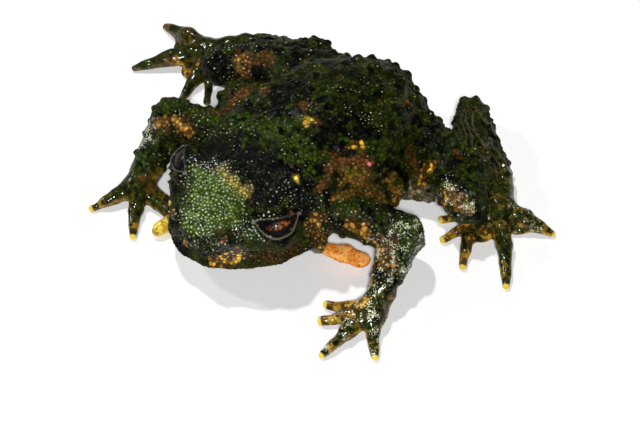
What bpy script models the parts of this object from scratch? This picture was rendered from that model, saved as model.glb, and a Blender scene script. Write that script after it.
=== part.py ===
"""A Hochstetter's frog as a still, life-size model that squats on a flat floor.

Sizes are in millimetres until a mesh is finished. The frog faces -Y, its left
side is +X, and the origin is on the floor under its chest. The flesh is a
field, negative inside, made of balls and tapered limbs that run together
softly. Each body part starts as plain balls and cones, is remeshed, and its
points are then drawn onto that field. Thin cuts part it into named nodes.
"""
import math

import bmesh
import bpy
import numpy as np
from mathutils import Matrix, Vector

# Overall sizes
MILLIMETRE = 0.001
GAP = 0.3
CARVE_GAP = 0.5
VOXEL = 0.42
CARVE_VOXEL = 0.55
FLOOR = 0.0
SEGMENTS = 20
RINGS = 12
EYE_SUBDIVISIONS = 3
SHARP_ANGLE = 50.0

# Stations of the body: x, y, z and the radius seen from above
JAW = [(-1.8, -10.7, 3.7, 7.3), (-1.4, -6.2, 3.9, 10.4), (-0.8, -1.0, 4.6, 9.8)]
SKULL = [(-1.8, -10.8, 5.2, 6.4), (-1.7, -6.3, 5.9, 8.9), (-0.7, -1.0, 7.2, 9.3)]
SNOUT = [(-1.8, -13.9, 5.8, 3.3), (-1.8, -11.0, 6.4, 4.2)]
TORSO = [(-0.4, -1.0, 7.0, 9.6), (0.0, 6.0, 7.0, 9.8), (0.2, 12.0, 6.6, 9.4),
         (-0.4, 17.0, 6.0, 6.3), (-0.6, 20.0, 5.6, 3.3)]
FLANK = [(0.2, 4.0, 4.5, 10.4), (0.5, 11.0, 4.5, 10.9)]
FLANK_BAGS = [[(-9.8, 3.2, 4.8, 4.1), (-12.6, 5.6, 4.9, 4.3)],
              [(8.0, 4.4, 4.2, 4.0), (8.8, 7.6, 4.0, 4.0)]]
GROIN = [(12.0, 12.2, 3.2, 1.6), (11.4, 10.8, 2.4, 1.6), (14.4, 11.9, 2.4, 1.2)]
SKIN_FOLD = [(9.6, -5.2, 2.8, 1.0), (12.3, -3.6, 2.1, 1.6), (14.4, -2.2, 1.4, 1.35)]
BACK_RIDGE = [(8.0, -3.5, 10.0, 1.5), (8.5, 4.0, 10.6, 1.7), (6.6, 13.0, 10.5, 1.6)]
BROW = (5.6, -9.2, 7.9, 2.7)
JAW_FLAT = 3.4
SKULL_FLAT = 1.75
SNOUT_FLAT = 1.2
TORSO_FLAT = 1.32
FLANK_FLAT = 2.2
BAG_FLAT = 1.3
FOLD_FLAT = 1.9
BROW_FLAT = 1.0

# Head: the middle line, the eyes, the ridges from eye to nostril, the nostrils
HEAD_MIDDLE = -1.8
EYE_OUT = 7.5
EYE_BACK = -9.0
EYE_HEIGHT = 7.7
EYE_RADIUS = 2.4
LID_THICKNESS = 0.5
EYE_FACING = 36.0
EYE_LIFT = 36.0
LID_OPENING = (2.6, 1.75, 1.3)
LID_OPENING_OUT = 2.9
BULGE_DEPTH = 2.0
RIDGE_BACK = (6.4, -12.2, 7.9, 1.6)
RIDGE_FRONT = (2.9, -15.8, 6.8, 1.2)
NOSTRIL = (3.1, -16.9, 6.9)
NOSTRIL_RADIUS = 0.55
NOSTRIL_DEPTH = 0.35

# Widths over which neighbouring forms run together
FORM_BLEND = 0.6
JAW_BLEND = 1.4
SNOUT_BLEND = 1.2
BROW_BLEND = 2.0
RIDGE_BLEND = 1.8
EYE_BLEND = 0.9
TORSO_BLEND = 1.5
FLANK_BLEND = 2.0
NECK_BLEND = 2.4
GROIN_BLEND = 1.0
LEG_BLEND = 0.5
DIGIT_BLEND = 0.3
PALM_BLEND = 0.8

# Drawing points onto a field: step of its slope, least steepness, rounds, longest move
SLOPE_STEP = 0.02
LEAST_STEEPNESS = 0.05
ROUNDS = 4
LONGEST_MOVE = 0.5

# Cuts through the body
NECK_LINE = -4.7
MOUTH_LINE = 3.3

# Limbs: x, y, z and radius at each joint
ARM_LEFT = [(8.6, -1.5, 7.2, 2.9), (17.6, 2.2, 5.2, 2.8), (20.1, -4.5, 2.6, 1.8)]
ARM_RIGHT = [(-9.4, -1.5, 7.2, 2.9), (-18.1, -3.8, 6.0, 2.8), (-16.8, -10.5, 2.6, 2.1)]
THIGH_LEFT = [(6.1, 18.0, 6.0, 2.8), (13.2, 15.6, 5.4, 3.2), (20.2, 12.4, 4.7, 2.7)]
THIGH_RIGHT = [(-7.0, 17.0, 6.4, 3.1), (-14.4, 12.6, 5.8, 3.2), (-20.8, 8.7, 4.9, 2.7)]
SHANK_LEFT = [(20.2, 12.4, 4.7, 2.6), (15.5, 19.0, 4.2, 2.6), (10.2, 26.3, 3.3, 2.2)]
SHANK_RIGHT = [(-20.8, 8.7, 4.9, 2.6), (-17.1, 14.9, 4.2, 2.5), (-13.5, 21.1, 3.3, 1.9)]
TARSUS_LEFT = [(10.3, 26.6, 2.7, 1.9), (19.6, 21.1, 1.7, 1.6)]
TARSUS_RIGHT = [(-13.5, 21.4, 2.6, 1.75), (-23.2, 16.3, 1.7, 1.6)]
PALM_RADIUS = 2.0
SOLE_RADIUS = 2.3
PALM_LEFT = [(20.1, -4.5, 2.3, 1.8), (20.8, -7.4, 1.2, PALM_RADIUS)]
PALM_RIGHT = [(-16.8, -10.5, 2.3, 2.05), (-16.3, -12.6, 1.2, PALM_RADIUS)]
SOLE_LEFT = [(19.6, 21.1, 1.6, 1.6), (22.3, 16.9, 1.2, SOLE_RADIUS)]
SOLE_RIGHT = [(-23.2, 16.3, 1.6, 1.6), (-25.9, 12.0, 1.2, SOLE_RADIUS)]

# Digits, from the inner to the outer one: x and y of the tip, radius halfway and at the
# tip, and how far the digit bows to its left
FINGERS_LEFT = [(15.6, -10.0, 0.95, 0.55, 0.0), (16.7, -12.5, 1.0, 0.52, 0.0),
                (20.1, -16.3, 0.95, 0.5, 0.0), (25.3, -12.0, 0.9, 0.5, 0.0)]
FINGERS_RIGHT = [(-11.8, -11.2, 0.9, 0.5, 0.0), (-8.6, -13.2, 0.85, 0.8, 0.0),
                 (-11.3, -18.8, 0.95, 0.5, 0.0), (-18.7, -19.1, 1.0, 0.5, 0.0)]
TOES_LEFT = [(17.7, 10.9, 0.7, 0.5, 0.0), (19.9, 8.4, 0.85, 0.5, 0.0), (24.6, 6.7, 0.95, 0.5, -1.7),
             (30.8, 8.0, 1.1, 0.5, 0.3), (30.1, 19.0, 1.3, 0.5, 0.0)]
TOES_RIGHT = [(-21.0, 9.4, 0.6, 0.5, 0.0), (-20.6, 5.3, 0.7, 0.5, 0.0), (-23.6, 3.4, 1.1, 0.5, 0.0),
              (-32.8, 3.1, 1.25, 0.5, -0.4), (-35.3, 12.0, 1.5, 0.5, 0.0)]
FINGER_CURL = [(-8.6, -13.2, 0.8, 0.85), (-9.2, -16.0, 0.85, 0.95)]
WEBS_LEFT = [(22.9, 12.6), (25.9, 17.0)]
WEBS_RIGHT = [(-26.2, 8.2), (-30.2, 10.6)]
DIGIT_ROOT = 1.5
WEB_FLAT = 2.8
WEB_RADIUS = 1.6
WEB_ROOT_HEIGHT = 0.7
WEB_HEIGHT = 0.45
DIGIT_SINK = 0.08

# Scattered warts: radius, height, spacing and where they stop
WART_RADIUS = 1.15
WART_HEIGHT = 0.6
WART_SPACING = 2.6
WART_LOWEST = 2.2
WART_FRONT = -4.0
WART_TURN = -0.2
WART_SIZES = (0.7, 1.15)
SEED = 7

# Warts that the photograph shows: x, y, z, radius, height
NAMED_WARTS = [
    (8.8, -6.2, 7.4, 1.3, 0.6), (9.6, -4.4, 6.2, 1.3, 0.6), (9.0, -3.6, 8.6, 1.3, 0.6),
    (10.1, -5.2, 4.3, 1.3, 0.6), (-12.4, -6.2, 7.4, 1.3, 0.6), (-13.2, -4.4, 6.2, 1.3, 0.6),
    (-12.6, -3.6, 8.6, 1.3, 0.6), (-13.7, -5.2, 4.3, 1.3, 0.6),
    (-0.3, 17.7, 12.0, 1.6, 0.8), (1.4, 18.6, 11.4, 1.4, 0.7), (3.2, 18.9, 10.6, 1.5, 0.8),
    (5.6, 19.6, 8.0, 1.5, 0.8), (6.9, 16.3, 10.6, 1.3, 0.7), (-3.4, 17.6, 11.4, 1.4, 0.7),
    (12.9, 6.6, 3.6, 1.2, 0.6),
]

# Most triangles of each mesh before it is parted
BODY_TRIANGLES = 5000
ARM_TRIANGLES = 700
LEG_TRIANGLES = 900
TARSUS_TRIANGLES = 240
HAND_TRIANGLES = 560
FOOT_TRIANGLES = 780

# Material colours: red, green, blue, roughness
BACK_GREEN = (0.035, 0.055, 0.012, 0.32)
HEAD_GREEN = (0.060, 0.095, 0.020, 0.32)
LIMB_GREEN = (0.035, 0.045, 0.014, 0.32)
DIGIT_GOLD = (0.32, 0.22, 0.04, 0.30)
JAW_OLIVE = (0.10, 0.09, 0.03, 0.35)
IRIS_COPPER = (0.18, 0.07, 0.02, 0.08)


def blend(first, second, width):
    """Smaller of two fields, run together softly over a width."""
    mix = np.clip(0.5 + 0.5 * (second - first) / width, 0.0, 1.0)
    return second + (first - second) * mix - width * mix * (1.0 - mix)


def tapered(points, start, end, flat):
    """Field of a ball that swells or shrinks from one station to the next."""
    squash = np.array((1.0, 1.0, flat))
    reach = (np.array(end[:3]) - start[:3]) * squash
    offset = (points - np.array(start[:3])) * squash
    along = np.clip(offset @ reach / (reach @ reach), 0.0, 1.0)
    radius = start[3] + (end[3] - start[3]) * along
    distance = np.linalg.norm(offset - along[:, None] * reach, axis=1) - radius
    return distance / math.sqrt(flat)


def limb(points, stations, flat=1.0, width=FORM_BLEND):
    """Field of a chain of stations."""
    field = tapered(points, stations[0], stations[1], flat)
    for start, end in zip(stations[1:-1], stations[2:]):
        field = blend(field, tapered(points, start, end, flat), width)
    return field


def ball(points, centre, radius):
    """Field of a ball."""
    return np.linalg.norm(points - np.array(centre), axis=1) - radius


def eye_centre(side):
    """Centre of the left (side 1) or the right (side -1) eye."""
    return (HEAD_MIDDLE + side * EYE_OUT, EYE_BACK, EYE_HEIGHT)


def mirrored(station, side):
    """A station of the head, given for a middle line at x = 0."""
    return (HEAD_MIDDLE + side * station[0],) + tuple(station[1:])


def back_ridges():
    """The ridge of skin along each side of the back."""
    return [[(side * x, y, z, radius) for x, y, z, radius in BACK_RIDGE] for side in (1, -1)]


def head_field(points):
    """Jaw, skull, snout, brow, eye bulges and the ridges in front of the eyes."""
    field = blend(limb(points, JAW, JAW_FLAT), limb(points, SKULL, SKULL_FLAT), JAW_BLEND)
    field = blend(field, limb(points, SNOUT, SNOUT_FLAT), SNOUT_BLEND)
    brow = tapered(points, mirrored(BROW, 1), mirrored(BROW, -1), BROW_FLAT)
    field = blend(field, brow, BROW_BLEND)
    for side in (1, -1):
        ridge = tapered(points, mirrored(RIDGE_BACK, side), mirrored(RIDGE_FRONT, side), 1.0)
        field = blend(field, ridge, RIDGE_BLEND)
        bulge = ball(points, eye_centre(side), EYE_RADIUS + GAP + LID_THICKNESS)
        field = blend(field, bulge, EYE_BLEND)
    return field


def body_field(points):
    """Head, torso, baggy flanks, back ridges, groins and the loose fold at the left armpit."""
    trunk = blend(limb(points, TORSO, TORSO_FLAT, TORSO_BLEND), limb(points, FLANK, FLANK_FLAT),
                  FLANK_BLEND)
    for ridge in back_ridges():
        trunk = blend(trunk, limb(points, ridge), RIDGE_BLEND)
    for bag in FLANK_BAGS:
        trunk = blend(trunk, limb(points, bag, BAG_FLAT), FLANK_BLEND)
    trunk = blend(trunk, limb(points, GROIN), GROIN_BLEND)
    field = blend(head_field(points), trunk, NECK_BLEND)
    return blend(field, limb(points, SKIN_FOLD, FOLD_FLAT), FORM_BLEND)


def digit(palm, tip):
    """Stations of one finger or toe, from the palm's centre to the tip."""
    x, y, halfway, end, bow = tip
    across, ahead = x - palm[0], y - palm[1]
    share = bow / math.hypot(across, ahead)
    middle = ((palm[0] + x) / 2 - ahead * share, (palm[1] + y) / 2 + across * share,
              halfway - DIGIT_SINK, halfway)
    root = (palm[0], palm[1], DIGIT_ROOT - DIGIT_SINK, DIGIT_ROOT)
    return [root, middle, (x, y, end - DIGIT_SINK, end)]


def web(palm, edge):
    """Stations of the skin between two toes."""
    return [(palm[0], palm[1], WEB_ROOT_HEIGHT, WEB_RADIUS), (edge[0], edge[1], WEB_HEIGHT, WEB_RADIUS)]


def paw_limbs(palm, tips, webs=(), curls=()):
    """Every chain of a hand or foot, with its flatness."""
    chains = [(palm, 1.0)]
    chains += [(digit(palm[-1], tip), 1.0) for tip in tips]
    chains += [(web(palm[-1], edge), WEB_FLAT) for edge in webs]
    return chains + [(stations, 1.0) for stations in curls]


def chains_field(chains, width):
    """Field of a function's points for several chains run together."""
    def field(points):
        total = limb(points, *chains[0])
        for stations, flat in chains[1:]:
            total = blend(total, limb(points, stations, flat, DIGIT_BLEND), width)
        return total
    return field


def gradient(field, points):
    """Slope of a field by central differences."""
    slope = np.empty_like(points)
    for axis in range(3):
        shift = np.zeros(3)
        shift[axis] = SLOPE_STEP
        slope[:, axis] = (field(points + shift) - field(points - shift)) / (2 * SLOPE_STEP)
    return slope


def settled(field, points, level=0.0):
    """Points drawn onto the surface where a field has the given level."""
    for _ in range(ROUNDS):
        slope = gradient(field, points)
        steepness = np.maximum((slope ** 2).sum(axis=1), LEAST_STEEPNESS)
        move = (field(points) - level) / steepness
        step = slope * move[:, None]
        length = np.linalg.norm(step, axis=1)
        step *= np.minimum(1.0, LONGEST_MOVE / np.maximum(length, 1e-9))[:, None]
        points = points - step
    return points


def wart_places(field, points, seed):
    """Warts scattered over the upper side of a mesh's points: place, radius and height."""
    generator = np.random.default_rng(seed)
    turned_up = gradient(field, points)[:, 2] > WART_TURN
    free = points[turned_up & (points[:, 2] > WART_LOWEST) & (points[:, 1] > WART_FRONT)]
    warts = []
    for point in generator.permutation(free):
        placed = np.array([wart[:3] for wart in warts] or [(math.inf,) * 3])
        if np.linalg.norm(placed - point, axis=1).min() > WART_SPACING:
            size = generator.uniform(*WART_SIZES)
            warts.append((*point, WART_RADIUS * size, WART_HEIGHT * size))
    return warts


def warted(field, warts):
    """A field with a round wart at each place."""
    def bumpy(points):
        total = field(points)
        for x, y, z, radius, height in warts:
            reach = np.linalg.norm(points - np.array((x, y, z)), axis=1) / radius
            total = total - height * np.clip(1.0 - reach ** 2, 0.0, 1.0) ** 2
        return total
    return bumpy


def scattered(field, chains, seed, helpers):
    """A field with warts scattered over a mesh of its chains."""
    shape = rough_mesh("bare", chains, helpers)
    settle_mesh(shape, field)
    warts = wart_places(field, mesh_points(shape.data), seed)
    drop(shape)
    return warted(field, warts)


def with_nostrils(field):
    """A field with the two nostril pits pressed in."""
    def pitted(points):
        total = field(points)
        for side in (1, -1):
            reach = np.linalg.norm(points - np.array(mirrored(NOSTRIL, side)), axis=1)
            pit = np.clip(1.0 - (reach / NOSTRIL_RADIUS) ** 2, 0.0, 1.0)
            total = total + NOSTRIL_DEPTH * 2 * pit
        return total
    return pitted


def add_ball(bm, station, flat):
    """One station as a plain ball."""
    place = Matrix.Translation(Vector(station[:3])) @ Matrix.Diagonal((1, 1, 1 / flat, 1))
    bmesh.ops.create_uvsphere(bm, u_segments=SEGMENTS, v_segments=RINGS, radius=station[3], matrix=place)


def add_cone(bm, start, end, flat):
    """The tapered stretch between two stations."""
    squash = Matrix.Diagonal((1, 1, flat, 1))
    first = squash @ Vector(start[:3])
    last = squash @ Vector(end[:3])
    axis = last - first
    turn = axis.to_track_quat("Z", "Y").to_matrix().to_4x4()
    place = squash.inverted() @ Matrix.Translation((first + last) / 2) @ turn
    bmesh.ops.create_cone(bm, cap_ends=True, segments=SEGMENTS, radius1=start[3], radius2=end[3],
                          depth=axis.length, matrix=place)


def new_object(name, mesh, collection):
    """An object for a mesh, in a collection."""
    shape = bpy.data.objects.new(name, mesh)
    collection.objects.link(shape)
    return shape


def evaluated_mesh(shape):
    """The mesh of an object with its modifiers, which are then dropped."""
    graph = bpy.context.evaluated_depsgraph_get()
    mesh = bpy.data.meshes.new_from_object(shape.evaluated_get(graph))
    shape.modifiers.clear()
    shape.data = mesh
    return mesh


def rough_mesh(name, chains, collection, voxel=VOXEL):
    """Balls and cones of the chains, remeshed into one closed surface."""
    bm = bmesh.new()
    for stations, flat in chains:
        for station in stations:
            add_ball(bm, station, flat)
        for start, end in zip(stations[:-1], stations[1:]):
            add_cone(bm, start, end, flat)
    mesh = bpy.data.meshes.new(name)
    bm.to_mesh(mesh)
    bm.free()
    shape = new_object(name, mesh, collection)
    remesh = shape.modifiers.new("Remesh", "REMESH")
    remesh.mode = "VOXEL"
    remesh.voxel_size = voxel
    evaluated_mesh(shape)
    return shape


def mesh_points(mesh):
    """The places of a mesh's points."""
    flat = np.empty(len(mesh.vertices) * 3, dtype=np.float32)
    mesh.vertices.foreach_get("co", flat)
    return flat.reshape(-1, 3).astype(float)


def move_points(mesh, points):
    """Puts a mesh's points at new places."""
    mesh.vertices.foreach_set("co", points.astype(np.float32).ravel())
    mesh.update()


def settle_mesh(shape, field, level=0.0):
    """Draws a mesh onto a field's surface."""
    move_points(shape.data, settled(field, mesh_points(shape.data), level))


def thin_mesh(shape, most):
    """Collapses edges until a mesh has about a number of triangles."""
    triangles = sum(len(face.vertices) - 2 for face in shape.data.polygons)
    decimate = shape.modifiers.new("Decimate", "DECIMATE")
    decimate.ratio = min(1.0, most / triangles)
    decimate.use_collapse_triangulate = True
    evaluated_mesh(shape)


def cut_mesh(shape, point, normal):
    """Removes what lies ahead of a plane and closes the cut with a flat face."""
    bm = bmesh.new()
    bm.from_mesh(shape.data)
    geometry = bm.verts[:] + bm.edges[:] + bm.faces[:]
    bmesh.ops.bisect_plane(bm, geom=geometry, dist=1e-4, plane_co=Vector(point),
                           plane_no=Vector(normal), clear_outer=True)
    rim = [edge for edge in bm.edges if edge.is_boundary]
    bmesh.ops.holes_fill(bm, edges=rim, sides=0)
    bmesh.ops.triangulate(bm, faces=[face for face in bm.faces if len(face.verts) > 3])
    bmesh.ops.recalc_face_normals(bm, faces=bm.faces[:])
    bm.to_mesh(shape.data)
    bm.free()


def keep_side(shape, point, direction):
    """Keeps the part of a mesh that lies along a direction, half a gap off the plane."""
    unit = Vector(direction).normalized()
    cut_mesh(shape, Vector(point) + unit * GAP / 2, -unit)


def copy_of(shape, name, collection):
    """A copy of an object with its own mesh."""
    return new_object(name, shape.data.copy(), collection)


def is_closed(mesh):
    """Whether a mesh has faces and every edge joins two of them."""
    bm = bmesh.new()
    bm.from_mesh(mesh)
    closed = len(bm.faces) > 0 and all(edge.is_manifold for edge in bm.edges)
    bm.free()
    return closed


def carve(shape, cutter):
    """Cuts a closed mesh out of another, with the second solver where the first fails."""
    before = shape.data
    for solver in ("MANIFOLD", "EXACT"):
        shape.data = before
        modifier = shape.modifiers.new("Boolean", "BOOLEAN")
        modifier.operation = "DIFFERENCE"
        modifier.object = cutter
        modifier.solver = solver
        evaluated_mesh(shape)
        if is_closed(shape.data):
            return


def drop(shape):
    """Removes a helper object."""
    bpy.data.objects.remove(shape, do_unlink=True)


def keep_largest(shape):
    """Keeps only the largest closed surface of a mesh."""
    bm = bmesh.new()
    bm.from_mesh(shape.data)
    bm.faces.ensure_lookup_table()
    seen = set()
    islands = []
    for face in bm.faces:
        if face in seen:
            continue
        island, front = [], [face]
        seen.add(face)
        while front:
            current = front.pop()
            island.append(current)
            for edge in current.edges:
                for neighbour in edge.link_faces:
                    if neighbour not in seen:
                        seen.add(neighbour)
                        front.append(neighbour)
        islands.append(island)
    islands.sort(key=len)
    scraps = [face for island in islands[:-1] for face in island]
    bmesh.ops.delete(bm, geom=scraps, context="FACES")
    bm.to_mesh(shape.data)
    bm.free()


def fold_plane(before, joint, after):
    """Normal of the plane that halves the fold at a joint, facing the next segment."""
    back = (Vector(before[:3]) - Vector(joint[:3])).normalized()
    ahead = (Vector(after[:3]) - Vector(joint[:3])).normalized()
    return (ahead - back).normalized()


def solid(name, chains, field, most, collection):
    """A closed mesh of a field, set flat on the floor."""
    shape = rough_mesh(name, chains, collection)
    settle_mesh(shape, field)
    thin_mesh(shape, most)
    cut_mesh(shape, (0, 0, FLOOR), (0, 0, -1))
    return shape


def body_chains():
    """The plain chains that the body's mesh starts from."""
    chains = [(JAW, JAW_FLAT), (SKULL, SKULL_FLAT), (SNOUT, SNOUT_FLAT), (TORSO, TORSO_FLAT),
              (FLANK, FLANK_FLAT), (GROIN, 1.0), (SKIN_FOLD, FOLD_FLAT)]
    chains += [(bag, BAG_FLAT) for bag in FLANK_BAGS]
    for side in (1, -1):
        centre = eye_centre(side) + (EYE_RADIUS + GAP + LID_THICKNESS,)
        below = (centre[0], centre[1], centre[2] - BULGE_DEPTH, centre[3])
        chains.append(([centre, below], 1.0))
        chains.append(([mirrored(RIDGE_BACK, side), mirrored(RIDGE_FRONT, side)], 1.0))
    chains.append(([mirrored(BROW, 1), mirrored(BROW, -1)], BROW_FLAT))
    chains += [(ridge, 1.0) for ridge in back_ridges()]
    return chains


def eye_axes(side):
    """Outward, along-the-lid and upward directions of an eye, tilted up with its lids."""
    turn, lift = math.radians(EYE_FACING), math.radians(EYE_LIFT)
    level = Vector((side * math.cos(turn), -math.sin(turn), 0.0))
    outward = level * math.cos(lift) + Vector((0.0, 0.0, math.sin(lift)))
    along = Vector((0.0, 0.0, 1.0)).cross(level)
    return outward, along, outward.cross(along)


def eye_ball(name, side, radius, collection):
    """An eyeball, also used a gap larger to hollow out its socket."""
    bm = bmesh.new()
    place = Matrix.Translation(Vector(eye_centre(side)))
    bmesh.ops.create_icosphere(bm, subdivisions=EYE_SUBDIVISIONS, radius=radius, matrix=place)
    mesh = bpy.data.meshes.new(name)
    bm.to_mesh(mesh)
    bm.free()
    return new_object(name, mesh, collection)


def lid_opening(side, collection):
    """The almond between the lids, as a closed cutter."""
    outward, along, upward = eye_axes(side)
    centre = Vector(eye_centre(side)) + outward * LID_OPENING_OUT
    turn = Matrix((along, outward, upward)).transposed().to_4x4()
    size = Matrix.Diagonal((LID_OPENING[0], LID_OPENING[1], LID_OPENING[2], 1))
    bm = bmesh.new()
    place = Matrix.Translation(centre) @ turn @ size
    bmesh.ops.create_uvsphere(bm, u_segments=SEGMENTS, v_segments=RINGS, radius=1.0, matrix=place)
    bmesh.ops.recalc_face_normals(bm, faces=bm.faces[:])
    mesh = bpy.data.meshes.new("opening")
    bm.to_mesh(mesh)
    bm.free()
    return new_object("opening", mesh, collection)


def make_body(nodes, helpers):
    """Head, lower jaw, torso and eyes; returns the body grown by the gap."""
    bumpy = scattered(body_field, body_chains(), SEED, helpers)
    field = with_nostrils(warted(bumpy, NAMED_WARTS))
    whole = solid("whole_body", body_chains(), field, BODY_TRIANGLES, helpers)
    grown = rough_mesh("grown_body", body_chains(), helpers, CARVE_VOXEL)
    settle_mesh(grown, field, CARVE_GAP)

    torso = copy_of(whole, "torso", nodes)
    keep_side(torso, (0, NECK_LINE, 0), (0, 1, 0))
    head = copy_of(whole, "head", nodes)
    keep_side(head, (0, NECK_LINE, 0), (0, -1, 0))
    jaw = copy_of(head, "lower_jaw", nodes)
    keep_side(head, (0, 0, MOUTH_LINE), (0, 0, 1))
    keep_side(jaw, (0, 0, MOUTH_LINE), (0, 0, -1))
    for side, ending in ((1, "l"), (-1, "r")):
        socket = eye_ball("socket", side, EYE_RADIUS + GAP, helpers)
        carve(head, socket)
        drop(socket)
        opening = lid_opening(side, helpers)
        carve(head, opening)
        drop(opening)
        eye_ball("eye_" + ending, side, EYE_RADIUS, nodes)
    for shape in (torso, head, jaw):
        keep_largest(shape)
    drop(whole)
    return grown


def make_arm(ending, stations, palm, tips, curls, grown, nodes, helpers):
    """Upper arm, forearm and hand of one side."""
    chains = [(stations, 1.0)]
    field = scattered(chains_field(chains, FORM_BLEND), chains, SEED + 1, helpers)
    arm = solid("arm", chains, field, ARM_TRIANGLES, helpers)
    elbow = stations[1]
    wrist = stations[2]
    elbow_fold = fold_plane(stations[0], elbow, wrist)
    wrist_line = Vector(palm[1][:3]) - Vector(elbow[:3])

    upper = copy_of(arm, "upper_arm_" + ending, nodes)
    keep_side(upper, elbow[:3], -elbow_fold)
    carve(upper, grown)
    keep_largest(upper)
    fore = copy_of(arm, "forearm_" + ending, nodes)
    keep_side(fore, elbow[:3], elbow_fold)
    keep_side(fore, wrist[:3], -wrist_line)
    drop(arm)

    chains = paw_limbs(palm, tips, curls=curls)
    field = chains_field(chains, PALM_BLEND)
    hand = solid("hand_" + ending, chains, field, HAND_TRIANGLES, nodes)
    keep_side(hand, wrist[:3], wrist_line)
    carve(hand, grown)
    keep_largest(hand)


def make_leg(ending, thigh_line, shank_line, tarsus_line, sole, tips, webs, grown, nodes, helpers):
    """Thigh, shank, tarsus and foot of one side."""
    chains = [(thigh_line, 1.0), (shank_line, 1.0)]
    field = scattered(chains_field(chains, LEG_BLEND), chains, SEED + 2, helpers)
    leg = solid("leg", chains, field, LEG_TRIANGLES, helpers)
    knee = thigh_line[-1]
    heel = shank_line[-1]
    ankle = tarsus_line[-1]
    knee_fold = fold_plane(thigh_line[0], knee, heel)
    heel_fold = fold_plane(knee, heel, ankle)
    ankle_fold = fold_plane(heel, ankle, sole[-1])

    thigh = copy_of(leg, "thigh_" + ending, nodes)
    keep_side(thigh, knee[:3], -knee_fold)
    carve(thigh, grown)
    keep_largest(thigh)
    shank = copy_of(leg, "shank_" + ending, nodes)
    keep_side(shank, knee[:3], knee_fold)
    keep_side(shank, heel[:3], -heel_fold)
    keep_largest(shank)

    chains = [(tarsus_line, 1.0)]
    tarsus_field = chains_field(chains, LEG_BLEND)
    tarsus = solid("tarsus_" + ending, chains, tarsus_field, TARSUS_TRIANGLES, nodes)
    keep_side(tarsus, heel[:3], heel_fold)
    keep_side(tarsus, ankle[:3], -ankle_fold)
    keep_largest(tarsus)

    chains = paw_limbs(sole, tips, webs)
    foot_field = chains_field(chains, PALM_BLEND)
    foot = solid("foot_" + ending, chains, foot_field, FOOT_TRIANGLES, nodes)
    keep_side(foot, ankle[:3], ankle_fold)
    leg_chains = [(thigh_line, 1.0), (shank_line, 1.0)]
    grown_leg = rough_mesh("grown_leg", leg_chains, helpers, CARVE_VOXEL)
    settle_mesh(grown_leg, field, CARVE_GAP)
    carve(foot, grown_leg)
    keep_largest(foot)
    drop(grown_leg)
    drop(leg)


def material(name, look):
    """A plain coloured surface."""
    finish = bpy.data.materials.new(name)
    finish.use_nodes = True
    shader = finish.node_tree.nodes["Principled BSDF"]
    shader.inputs["Base Color"].default_value = (look[0], look[1], look[2], 1.0)
    shader.inputs["Roughness"].default_value = look[3]
    return finish


def look_of(name):
    """The colour and roughness of a node."""
    looks = {"torso": BACK_GREEN, "head": HEAD_GREEN, "lower": JAW_OLIVE, "eye": IRIS_COPPER,
             "hand": DIGIT_GOLD, "foot": DIGIT_GOLD}
    return looks.get(name.split("_")[0], LIMB_GREEN)


def finish_node(shape):
    """Brings a node to metres, gives it its material and shades it smooth."""
    shape.data.transform(Matrix.Scale(MILLIMETRE, 4))
    shape.data.materials.clear()
    shape.data.materials.append(material(shape.name + "_finish", look_of(shape.name)))
    shape.data.shade_smooth()
    shape.data.set_sharp_from_angle(angle=math.radians(SHARP_ANGLE))


def main():
    """Clears the scene and makes the frog."""
    for shape in list(bpy.data.objects):
        bpy.data.objects.remove(shape, do_unlink=True)
    nodes = bpy.data.collections.new("hochstetters_frog")
    helpers = bpy.data.collections.new("helpers")
    for collection in (nodes, helpers):
        bpy.context.scene.collection.children.link(collection)
    grown = make_body(nodes, helpers)
    make_arm("l", ARM_LEFT, PALM_LEFT, FINGERS_LEFT, [], grown, nodes, helpers)
    make_arm("r", ARM_RIGHT, PALM_RIGHT, FINGERS_RIGHT, [FINGER_CURL], grown, nodes, helpers)
    make_leg("l", THIGH_LEFT, SHANK_LEFT, TARSUS_LEFT, SOLE_LEFT, TOES_LEFT, WEBS_LEFT,
             grown, nodes, helpers)
    make_leg("r", THIGH_RIGHT, SHANK_RIGHT, TARSUS_RIGHT, SOLE_RIGHT, TOES_RIGHT, WEBS_RIGHT,
             grown, nodes, helpers)
    drop(grown)
    for shape in nodes.objects:
        finish_node(shape)


main()
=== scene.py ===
"""Looks of the Hochstetter's frog: one wet, warty skin, two eyes, a pale floor, soft light.

Sizes are in millimetres until a mesh is finished. The frog faces -Y, with its left side
towards +X. The skin starts from the balls and tapered limbs of the solids, with a slimmer
flap at the left armpit, and is remeshed and drawn onto their field. Lids, lips, warts,
beads and wrinkles are raised from it. Markings are named places on the body, kept as masks.
"""
import math

import bmesh
import bpy
import numpy as np
from mathutils import Matrix, Vector
from mathutils.kdtree import KDTree


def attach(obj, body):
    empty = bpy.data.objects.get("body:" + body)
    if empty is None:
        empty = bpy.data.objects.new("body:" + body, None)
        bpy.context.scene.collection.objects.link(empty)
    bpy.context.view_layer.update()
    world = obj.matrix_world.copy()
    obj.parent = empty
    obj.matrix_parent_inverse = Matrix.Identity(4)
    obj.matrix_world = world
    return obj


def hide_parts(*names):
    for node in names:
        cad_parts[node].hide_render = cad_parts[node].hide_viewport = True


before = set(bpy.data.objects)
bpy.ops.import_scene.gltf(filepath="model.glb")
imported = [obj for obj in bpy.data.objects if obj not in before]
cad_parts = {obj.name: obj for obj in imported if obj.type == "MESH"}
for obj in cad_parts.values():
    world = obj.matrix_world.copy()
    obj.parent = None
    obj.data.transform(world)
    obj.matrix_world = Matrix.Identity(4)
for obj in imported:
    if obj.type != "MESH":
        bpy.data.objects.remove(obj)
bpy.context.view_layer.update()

# Overall sizes; a field is FAR where no chain is NEAR, and nothing is divided by less than TINY
MILLIMETRE = 0.001
VOXEL = 0.19
ROUND = 32
FAR = 8.0
NEAR = 3.0
TINY = 1e-6
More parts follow.
